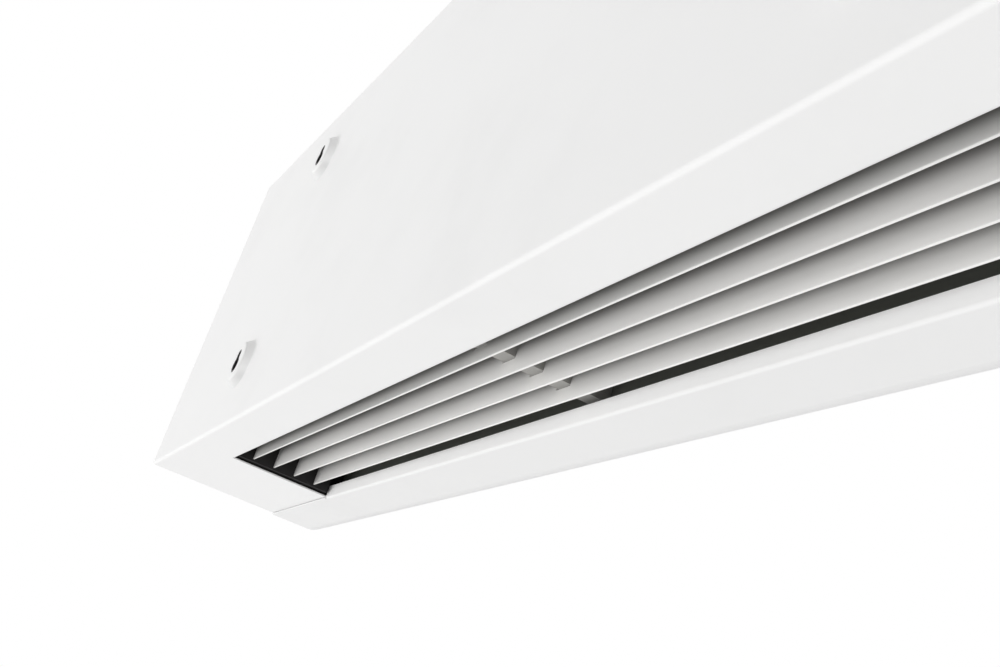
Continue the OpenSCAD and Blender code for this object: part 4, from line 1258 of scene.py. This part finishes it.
@dataclass
class Machinery:
    """What the bare motor, coupling and bearing lack."""

    face: float = -509.0
    length: float = 86.0
    body_radius: float = 41.0
    plates_start: float = 22.5
    plates: int = 16
    plate_pitch: float = 2.7
    slots: int = 12
    box_x: float = -547.7
    box_top: float = 263.0
    lid_screws: Place = (13.0, 10.0)
    bearing_face: float = 483.35
    set_screws_x: Place = (-481.5, -497.5)

    def build(self) -> None:
        """Builds the laminations, the rear grille, the box lid, the seal and the set screws."""
        self.laminations()
        self.rear_grille()
        self.box_lid()
        self.bearing_seal()
        self.set_screws()

    def laminations(self) -> None:
        """Stacks thin steel plates round the stator, between its ribs."""
        start = self.face - self.plates_start
        plate = Workpiece.rod("stator_plates", 0, 1.1, self.body_radius + 2.2, 48)
        plate.bore(self.body_radius - 1.0, 48)
        spots = [(at(start - i * self.plate_pitch, *AXIS), ALONG) for i in range(self.plates)]
        plate.put(spots, Paint.LAMINATION, "motor_metal")

    def rear_grille(self) -> None:
        """Builds the slotted cap on the motor's far end."""
        cap = Workpiece.rod("motor_rear_cap", 0, 3.2, 31, 48).soften(0.8)
        cap.top(inset(24.0), inset(0.6, -0.8))
        for i in range(self.slots):
            slit = Workpiece.block("slit", (10, -1.7, 1.0), (26, 1.7, 5))
            cap.cut(slit.turn(i * 360 / self.slots))
        spot = (at(self.face - self.length + 0.02, *AXIS), -ALONG)
        cap.put([spot], Paint.MOTOR, "motor_metal")

    def box_lid(self) -> None:
        """Builds the lid of the motor's terminal box, with its sleeve and four screws."""
        lid = Workpiece.block("terminal_box_lid", (-16, -13, 0), (16, 13, 2.6)).soften(0.9)
        lid.top(inset(2.2, -0.5)).bore(4.3)
        sleeve = Workpiece.rod("sleeve", 2, 9, 7.2, 32, 5.6).bore(4.05)
        for step in range(3):
            ring = Workpiece.rod("ring", 3.4 + step * 1.9, 4.3 + step * 1.9, 7.6 - step * 0.5, 32)
            sleeve.join(ring.bore(4.6))
        spot = [(at(self.box_x, AXIS[0], self.box_top), UP)]
        lid.join(sleeve).put(spot, Paint.BLACK, "motor_metal")
        x, v = self.lid_screws
        corners = [(at(self.box_x + a * x, AXIS[0] + b * v, self.box_top + 2.0), UP)
                   for a in SIGNS for b in SIGNS]
        Fastener("terminal_box_screws", 4.4, 1.5, 2.5, 3.0, Drive.CROSS, 20).put(corners)

    def bearing_seal(self) -> None:
        """Builds the rubber seal in the outer face of the ball bearing."""
        seal = Workpiece.rod("bearing_seal", 0, 0.5, 11.3, 48).bore(8.35, 48)
        seal.top(inset(1.0, -0.15))
        seal.put([(at(self.bearing_face, *AXIS), ALONG)], Paint.RUBBER, "black_rubber")

    def set_screws(self) -> None:
        """Puts the set screws in the coupling."""
        made = Workpiece.rod("coupling_set_screws", 13.6, 15.3, 2.4, 20)
        made.cut(Workpiece.rod("bit", 14.2, 16, 1.3, 6))
        spots = [(at(x, *AXIS), UP) for x in self.set_screws_x]
        made.put(spots, Paint.SCREW, "zinc_screws", body="fan")


# ---------------------------------------------------------------- electrics


@dataclass
class Electrics:
    """The populated board, the run capacitor, the terminals and the short wires of the tray."""

    tray_x: float = 544.75
    tray_face: float = 2.4
    board_left: float = 501.5
    board_right: float = 588.0
    board_low: float = 136.0
    board_high: float = 198.0
    board_v: float = 10.4
    terminal_low: float = 246.0
    terminal_pitch: float = 11.0
    terminals: int = 7
    terminal_inlet: Place = (16.4, 247.5)
    stud: Place = (497.5, 234.0)
    capacitor: Place = (21.9, 98.0)
    can_half: float = 35.0
    tab_offset: float = 6.0
    relays_at: tuple[Place, ...] = ((21.5, 42.0), (45.5, 42.0))
    transformer_at: Place = (68.0, 42.0)
    smoothing_at: Place = (68.0, 18.0)
    resistors_at: tuple[Place, ...] = ((14.0, 29.0), (28.0, 29.0), (42.0, 29.0), (14.0, 25.0),
                                       (28.0, 25.0))
    chip_at: Place = (56.0, 26.0)
    chip_pins: int = 4
    pin_pitch: float = 2.54
    connectors_x: float = 16.0
    connectors_w: float = 13.0
    connector_pitch: float = 10.0
    ways: int = 6
    wire_radius: float = 1.25
    capacitor_wire_radius: float = 1.1

    @property
    def skin(self) -> float:
        """Gives the v of the board's populated side."""
        return self.board_v + 1.6

    def build(self) -> None:
        """Builds the board first, then what is wired to it."""
        self.board()
        self.relays()
        self.transformer()
        self.connectors()
        self.smoothing_capacitor()
        self.small_parts()
        self.run_capacitor()
        self.terminal_screws()
        self.wires()

    def on_board(self, *places: Place) -> list[Spot]:
        """Gives spots on the board, pointing forward, by x and w from its low left corner."""
        return [(at(self.board_left + x, self.skin - 0.02, self.board_low + w), FORWARD)
                for x, w in places]

    def board(self) -> None:
        """Cuts the laminate and stands it on four pillars."""
        wide, tall = self.board_right - self.board_left, self.board_high - self.board_low
        plate = Workpiece.block("board_plate", (0, -tall, -1.6), (wide, 0, 0))
        for x in (5, wide - 5):
            for y in (-5, 5 - tall):
                plate.cut(Workpiece.rod("drill", -3, 3, 1.7, 20).move(x, y, 0))
        corner = (at(self.board_left, self.skin, self.board_low), FORWARD)
        plate.put([corner], Paint.BOARD, "board_laminate", "circuit_board")
        pillar = Workpiece.rod("board_pillars", self.tray_face - self.board_v, 2.0, 2.5, 6)
        pillar.top(inset(0.5), extrude(0.6), narrow(0.7))
        spots = [(at(self.board_left + x, self.board_v, self.board_low + w), FORWARD)
                 for x in (5, wide - 5) for w in (5, tall - 5)]
        pillar.put(spots, Paint.NYLON, "white_plastic")

    def relays(self) -> None:
        """Builds two sealed relays."""
        case = Workpiece.block("board_relays", (-9.5, -8, 0.4), (9.5, 8, 15.4)).soften(0.7)
        case.top(inset(1.4, -0.35))
        case.join(Workpiece.block("foot", (-9.0, -7.5, 0), (9.0, 7.5, 0.6)))
        case.put(self.on_board(*self.relays_at), Paint.RELAY_BLUE, "board_laminate")

    def transformer(self) -> None:
        """Builds the small transformer: a laminated core round a copper winding."""
        core = Workpiece.block("board_transformer_core", (-8, -12, 0.5), (8, 12, 11.4)).soften(0.4)
        core.cut(Workpiece.block("window", (-5.2, -9, -1), (5.2, 9, 13)))
        spot = self.on_board(self.transformer_at)
        core.put(spot, Paint.LAMINATION, "motor_metal")
        coil = Workpiece.rod("board_transformer_coil", 0, 10.6, 6.0, 28)
        coil.thing.data.transform(Matrix.Diagonal((0.84, 1.42, 1.0, 1.0)))
        coil.soften(1.0, 3)
        coil.girth(inset(0.8, -0.35))
        coil.put(spot, Paint.COPPER, "board_laminate")

    def connectors(self) -> None:
        """Builds six screw connectors along the board's lower edge."""
        way = Workpiece.block("board_connectors", (-4.4, -5, 0), (4.4, 5, 9.4)).soften(0.35)
        way.cut(Workpiece.rod("well", 6.2, 12, 2.1, 20),
                Workpiece.block("mouth", (-2.6, -6, 1.6), (2.6, -2.5, 5.6)),
                Workpiece.block("mouth", (-2.6, 2.5, 1.6), (2.6, 6, 5.6)))
        spots = self.on_board(*((self.connector(i), self.connectors_w) for i in range(self.ways)))
        way.put(spots, Paint.CONNECTOR, "board_laminate")
        screw = Fastener("board_connector_screws", 3.6, 1.3, 2.0, 2.0, Drive.SLOT, 16).pattern()
        screw.move(0, 0, 6.4).put(spots, Paint.SCREW, "zinc_screws")

    def smoothing_capacitor(self) -> None:
        """Builds the upright smoothing capacitor with its crimped foot and scored lid."""
        can = Workpiece.rod("board_smoothing_capacitor", 0, 2.4, 6, 32)
        can.top(extrude(0.5), narrow(0.93), extrude(0.5), narrow(1.075), extrude(13.2),
                extrude(0.5), narrow(0.95), inset(0.6), extrude(-0.3))
        for turn in (0, 60, 120):
            can.cut(Workpiece.block("score", (-4.4, -0.15, 16.55), (4.4, 0.15, 18)).turn(turn))
        can.put(self.on_board(self.smoothing_at), Paint.SLEEVE, "board_laminate")

    def small_parts(self) -> None:
        """Puts resistors and a controller chip on the board."""
        resistor = Workpiece.rod("board_resistors", -3.1, 3.1, 1.15, 16)
        resistor.girth(inset(1.2, -0.2))
        resistor.join(Workpiece.rod("lead", -5, 5, 0.3, 8))
        resistor.turn(90, "Y").move(0, 0, 1.3)
        resistor.put(self.on_board(*self.resistors_at), Paint.RESISTOR, "board_laminate")
        chip = Workpiece.block("board_chip", (-5, -3.2, 0.8), (5, 3.2, 4.2)).soften(0.3)
        chip.cut(Workpiece.rod("notch", 3.9, 6, 0.8, 16).move(-4.2, 0, 0))
        for y in (-3.7, 3.0):
            for i in range(self.chip_pins):
                x = (i - (self.chip_pins - 1) / 2) * self.pin_pitch
                chip.join(Workpiece.block("pin", (x - 0.3, y, 0), (x + 0.3, y + 0.7, 2.6)))
        chip.put(self.on_board(self.chip_at), Paint.BLACK, "board_laminate")

    def run_capacitor(self) -> None:
        """Builds the run capacitor with rounded ends, a crimped rim and blade tabs."""
        can = Workpiece.rod("run_capacitor_can", -self.can_half, self.can_half - 0.5, 18, 48)
        can.bottom(extrude(-0.01), inset(1.6, 0.9))
        can.top(inset(1.4), extrude(-1.2), inset(1.0), extrude(1.8), inset(3.0), extrude(0.4))
        spot = [(at(self.tray_x, *self.capacitor), ALONG)]
        can.put(spot, Paint.NYLON, "white_plastic", "run_capacitor")
        tab = Workpiece.block("run_capacitor_tabs", (-3.1, -0.4, -2), (3.1, 0.4, 8)).soften(0.2, 1)
        x, (v, w) = self.tray_x + self.can_half, self.capacitor
        spots = [(at(x, v + s * self.tab_offset, w), ALONG) for s in SIGNS]
        tab.put(spots, Paint.BRASS, "brass_stud")

    def terminal_screws(self) -> None:
        """Puts two clamping screws in each way of the terminal block."""
        made = Fastener("terminal_screws", 4.5, 1.8, 2.4, 2.0, Drive.SLOT, 18)
        made.put((at(self.way(i), self.tray_face + 13.2, self.terminal_low + w), FORWARD)
                 for i in range(self.terminals) for w in (8, 18))

    def way(self, index: int) -> float:
        """Gives the x of one way of the terminal block."""
        return self.tray_x + (index - (self.terminals - 1) / 2) * self.terminal_pitch

    def connector(self, index: int) -> float:
        """Gives the x of one connector from the board's left edge."""
        return self.connectors_x + self.connector_pitch * index

    def wire(self, name: str, paint: Paint, radius: float, *route: Place) -> None:
        """Draws one short wire of the tray. Its route is in casing measurements."""
        made = Workpiece.cable(name, [at(*place) for place in route], radius)
        made.finish(paint, "loom_sleeve")

    def wires(self) -> None:
        """Runs short wires from the terminals to the board, the capacitor and the earth stud."""
        inlet = self.skin + 3.6
        colours = (Paint.WIRE_BROWN, Paint.WIRE_BLUE)
        for i, paint in enumerate((*colours, *colours, Paint.SLEEVE)):
            top, low = self.way(i + 1), self.board_left + self.connector(i)
            out = 31.5 + 1.4 * (i % 2)
            self.wire(
                f"tray_wire_{i + 1}", paint, self.wire_radius, (top, *self.terminal_inlet),
                (top, 16.8, 240), (top + 1, 22, 226), (top * 0.6 + low * 0.4, out, 205),
                (low, out, 184), (low, 26, 166), (low, inlet + 1, 157.5), (low, inlet, 152.5))
        for i, (s, paint) in enumerate(zip(SIGNS, colours)):
            x, v = self.tray_x + self.can_half, self.capacitor[0] + s * self.tab_offset
            low = self.board_left + self.connector(self.ways - 2 + i)
            self.wire(
                f"capacitor_wire_{i + 1}", paint, self.capacitor_wire_radius,
                (x + 5, v, 98), (x + 10, v, 98.5), (591, v, 105),
                (589 - 3 * i, 20 + 2 * i, 122), (low + 6, inlet + 3, 136), (low, inlet, 141),
                (low, inlet, 146))
        self.earth()

    def earth(self) -> None:
        """Puts a lug on the earth stud and wires it to the first terminal."""
        x, w = self.stud
        lug = Workpiece.rod("earth_lug", 0, 0.9, 4.6, 24).bore(2.6)
        barrel = Workpiece.rod("barrel", 4, 11, 1.9, 16).bore(1.0)
        lug.join(barrel.turn(90, "Y").move(0, 0, 1.9))
        lug.put([(at(x, self.tray_face + 4.4, w), FORWARD)], Paint.STEEL, "bright_steel")
        way = self.way(0)
        self.wire(
            "earth_wire", Paint.WIRE_GREEN, self.wire_radius, (x + 3, 8, w), (x + 7, 10, w + 1),
            (way - 1, 15, 239), (way, 16.4, 243), (way, *self.terminal_inlet))


# ---------------------------------------------------------------- filter


@dataclass
class FilterGrips:
    """Ribbed finger grips on the filter frame's rim."""

    back: float = 180.8
    low: float = 209.6
    places_x: Place = (-200.0, 200.0)
    ribs: int = 6
    rib_span: float = 20.0

    def build(self) -> None:
        """Builds the grips behind the frame's lower rim."""
        grip = Workpiece.block("filter_grips", (-14, -3.4, 0), (14, 3.4, 1.6)).soften(0.6)
        for i in range(self.ribs):
            x = i * self.rib_span / (self.ribs - 1) - self.rib_span / 2
            rib = Workpiece.block("rib", (x - 0.8, -2.8, 1.4), (x + 0.8, 2.8, 2.8)).soften(0.35)
            grip.join(rib)
        spots = [(at(x, self.back + 0.02, self.low + 4), -FORWARD) for x in self.places_x]
        grip.put(spots, Paint.BLACK, "black_plastic", body="cover")


# ---------------------------------------------------------------- studio


@dataclass
class Studio:
    """The camera, the floor, the pale surroundings and the soft lamps."""

    camera_place: Place = (-650.4, -208.6, -266.0)
    lens: float = 43.2
    sensor: float = 36.0
    floor_height: float = -5.0
    floor_side: float = 60.0
    floor_tone: Colour = (0.8, 0.8, 0.8)
    backdrop: float = 1.0
    ambient: float = 0.5
    floor_glow: float = 0.37
    floor_lift: float = 0.21

    def build(self) -> None:
        """Builds everything around the air curtain."""
        self.camera()
        self.floor()
        self.surroundings()
        self.lamps()
        bpy.context.scene.view_settings.view_transform = "Standard"
        LOG.info("studio ready")

    def camera(self) -> None:
        """Stands the camera behind and below one end, looking along the casing."""
        data = bpy.data.cameras.new("photo_camera")
        data.sensor_width = self.sensor
        data.lens = self.lens
        data.clip_start = 0.01
        camera = stand("photo_camera", data)
        right = Vector((-0.480099, -0.832214, 0.277354))
        up = Vector((-0.221749, 0.421045, 0.879516))
        back = Vector((-0.848724, 0.360751, -0.386686))
        turn = Matrix((right, up, back)).transposed().to_4x4()
        camera.matrix_world = Matrix.Translation(at(*self.camera_place)) @ turn
        bpy.context.scene.camera = camera

    def floor(self) -> None:
        """Lays a plain pale floor well below, which can't be seen from underneath."""
        bpy.ops.object.select_all(action="DESELECT")
        bpy.ops.mesh.primitive_plane_add(size=self.floor_side, location=(0, 0, self.floor_height))
        floor = bpy.context.object
        floor.name = "floor"
        material = bpy.data.materials.new("floor_pale")
        bench = fresh(material)
        matt = bench.chain("ShaderNodeBsdfDiffuse", color=self.floor_tone)
        seen = bench.out("ShaderNodeLightPath", "Is Camera Ray")
        white = bench.chain("ShaderNodeEmission", color=WHITE,
                            strength=seen * self.floor_lift + self.floor_glow)
        lift = bench.chain("ShaderNodeAddShader", matt, white)
        below = bench.out("ShaderNodeNewGeometry", "Backfacing")
        clear = bench.chain("ShaderNodeBsdfTransparent")
        bench.node("ShaderNodeOutputMaterial",
                   surface=bench.chain("ShaderNodeMixShader", below, lift, clear))
        floor.data.materials.append(material)

    def surroundings(self) -> None:
        """Makes the world: white where it is seen, and a plain level of light elsewhere."""
        world = bpy.data.worlds.new("pale_room")
        bpy.context.scene.world = world
        bench = fresh(world)
        rays = bench.node("ShaderNodeLightPath").outputs
        camera, glossy, clear = (Signal(bench, rays[f"Is {kind} Ray"])
                                 for kind in ("Camera", "Glossy", "Transmission"))
        seen, light = (bench.chain("ShaderNodeBackground", color=WHITE, strength=level)
                       for level in (self.backdrop, self.ambient))
        direct = camera.at_least(glossy).at_least(clear)
        bench.node("ShaderNodeOutputWorld",
                   surface=bench.chain("ShaderNodeMixShader", direct, light, seen))

    def lamps(self) -> None:
        """Hangs broad soft lamps."""
        for name, place, side, watts in (
            ("far_behind", (4.8, 5.2, -3.0), 5.0, 333.0),
            ("front_above", (-0.8, -3.0, 2.2), 2.8, 31.0),
        ):
            data = bpy.data.lights.new(name, "AREA")
            data.shape = "SQUARE"
            data.size = side
            data.energy = watts
            lamp = stand(name, data)
            lamp.location = place
            lamp.rotation_euler = (-Vector(place)).to_track_quat("-Z", "Y").to_euler()
            lamp.visible_glossy = False


# ---------------------------------------------------------------- start


def main() -> None:
    """Builds the studio, dresses the construction nodes and adds the small pieces."""
    logging.basicConfig(level=logging.INFO, format="%(message)s")
    Studio().build()
    dress_cad_nodes()
    Fasteners().build()
    CableEntries().build()
    Machinery().build()
    Electrics().build()
    FilterGrips().build()


if __name__ == "__main__":
    main()
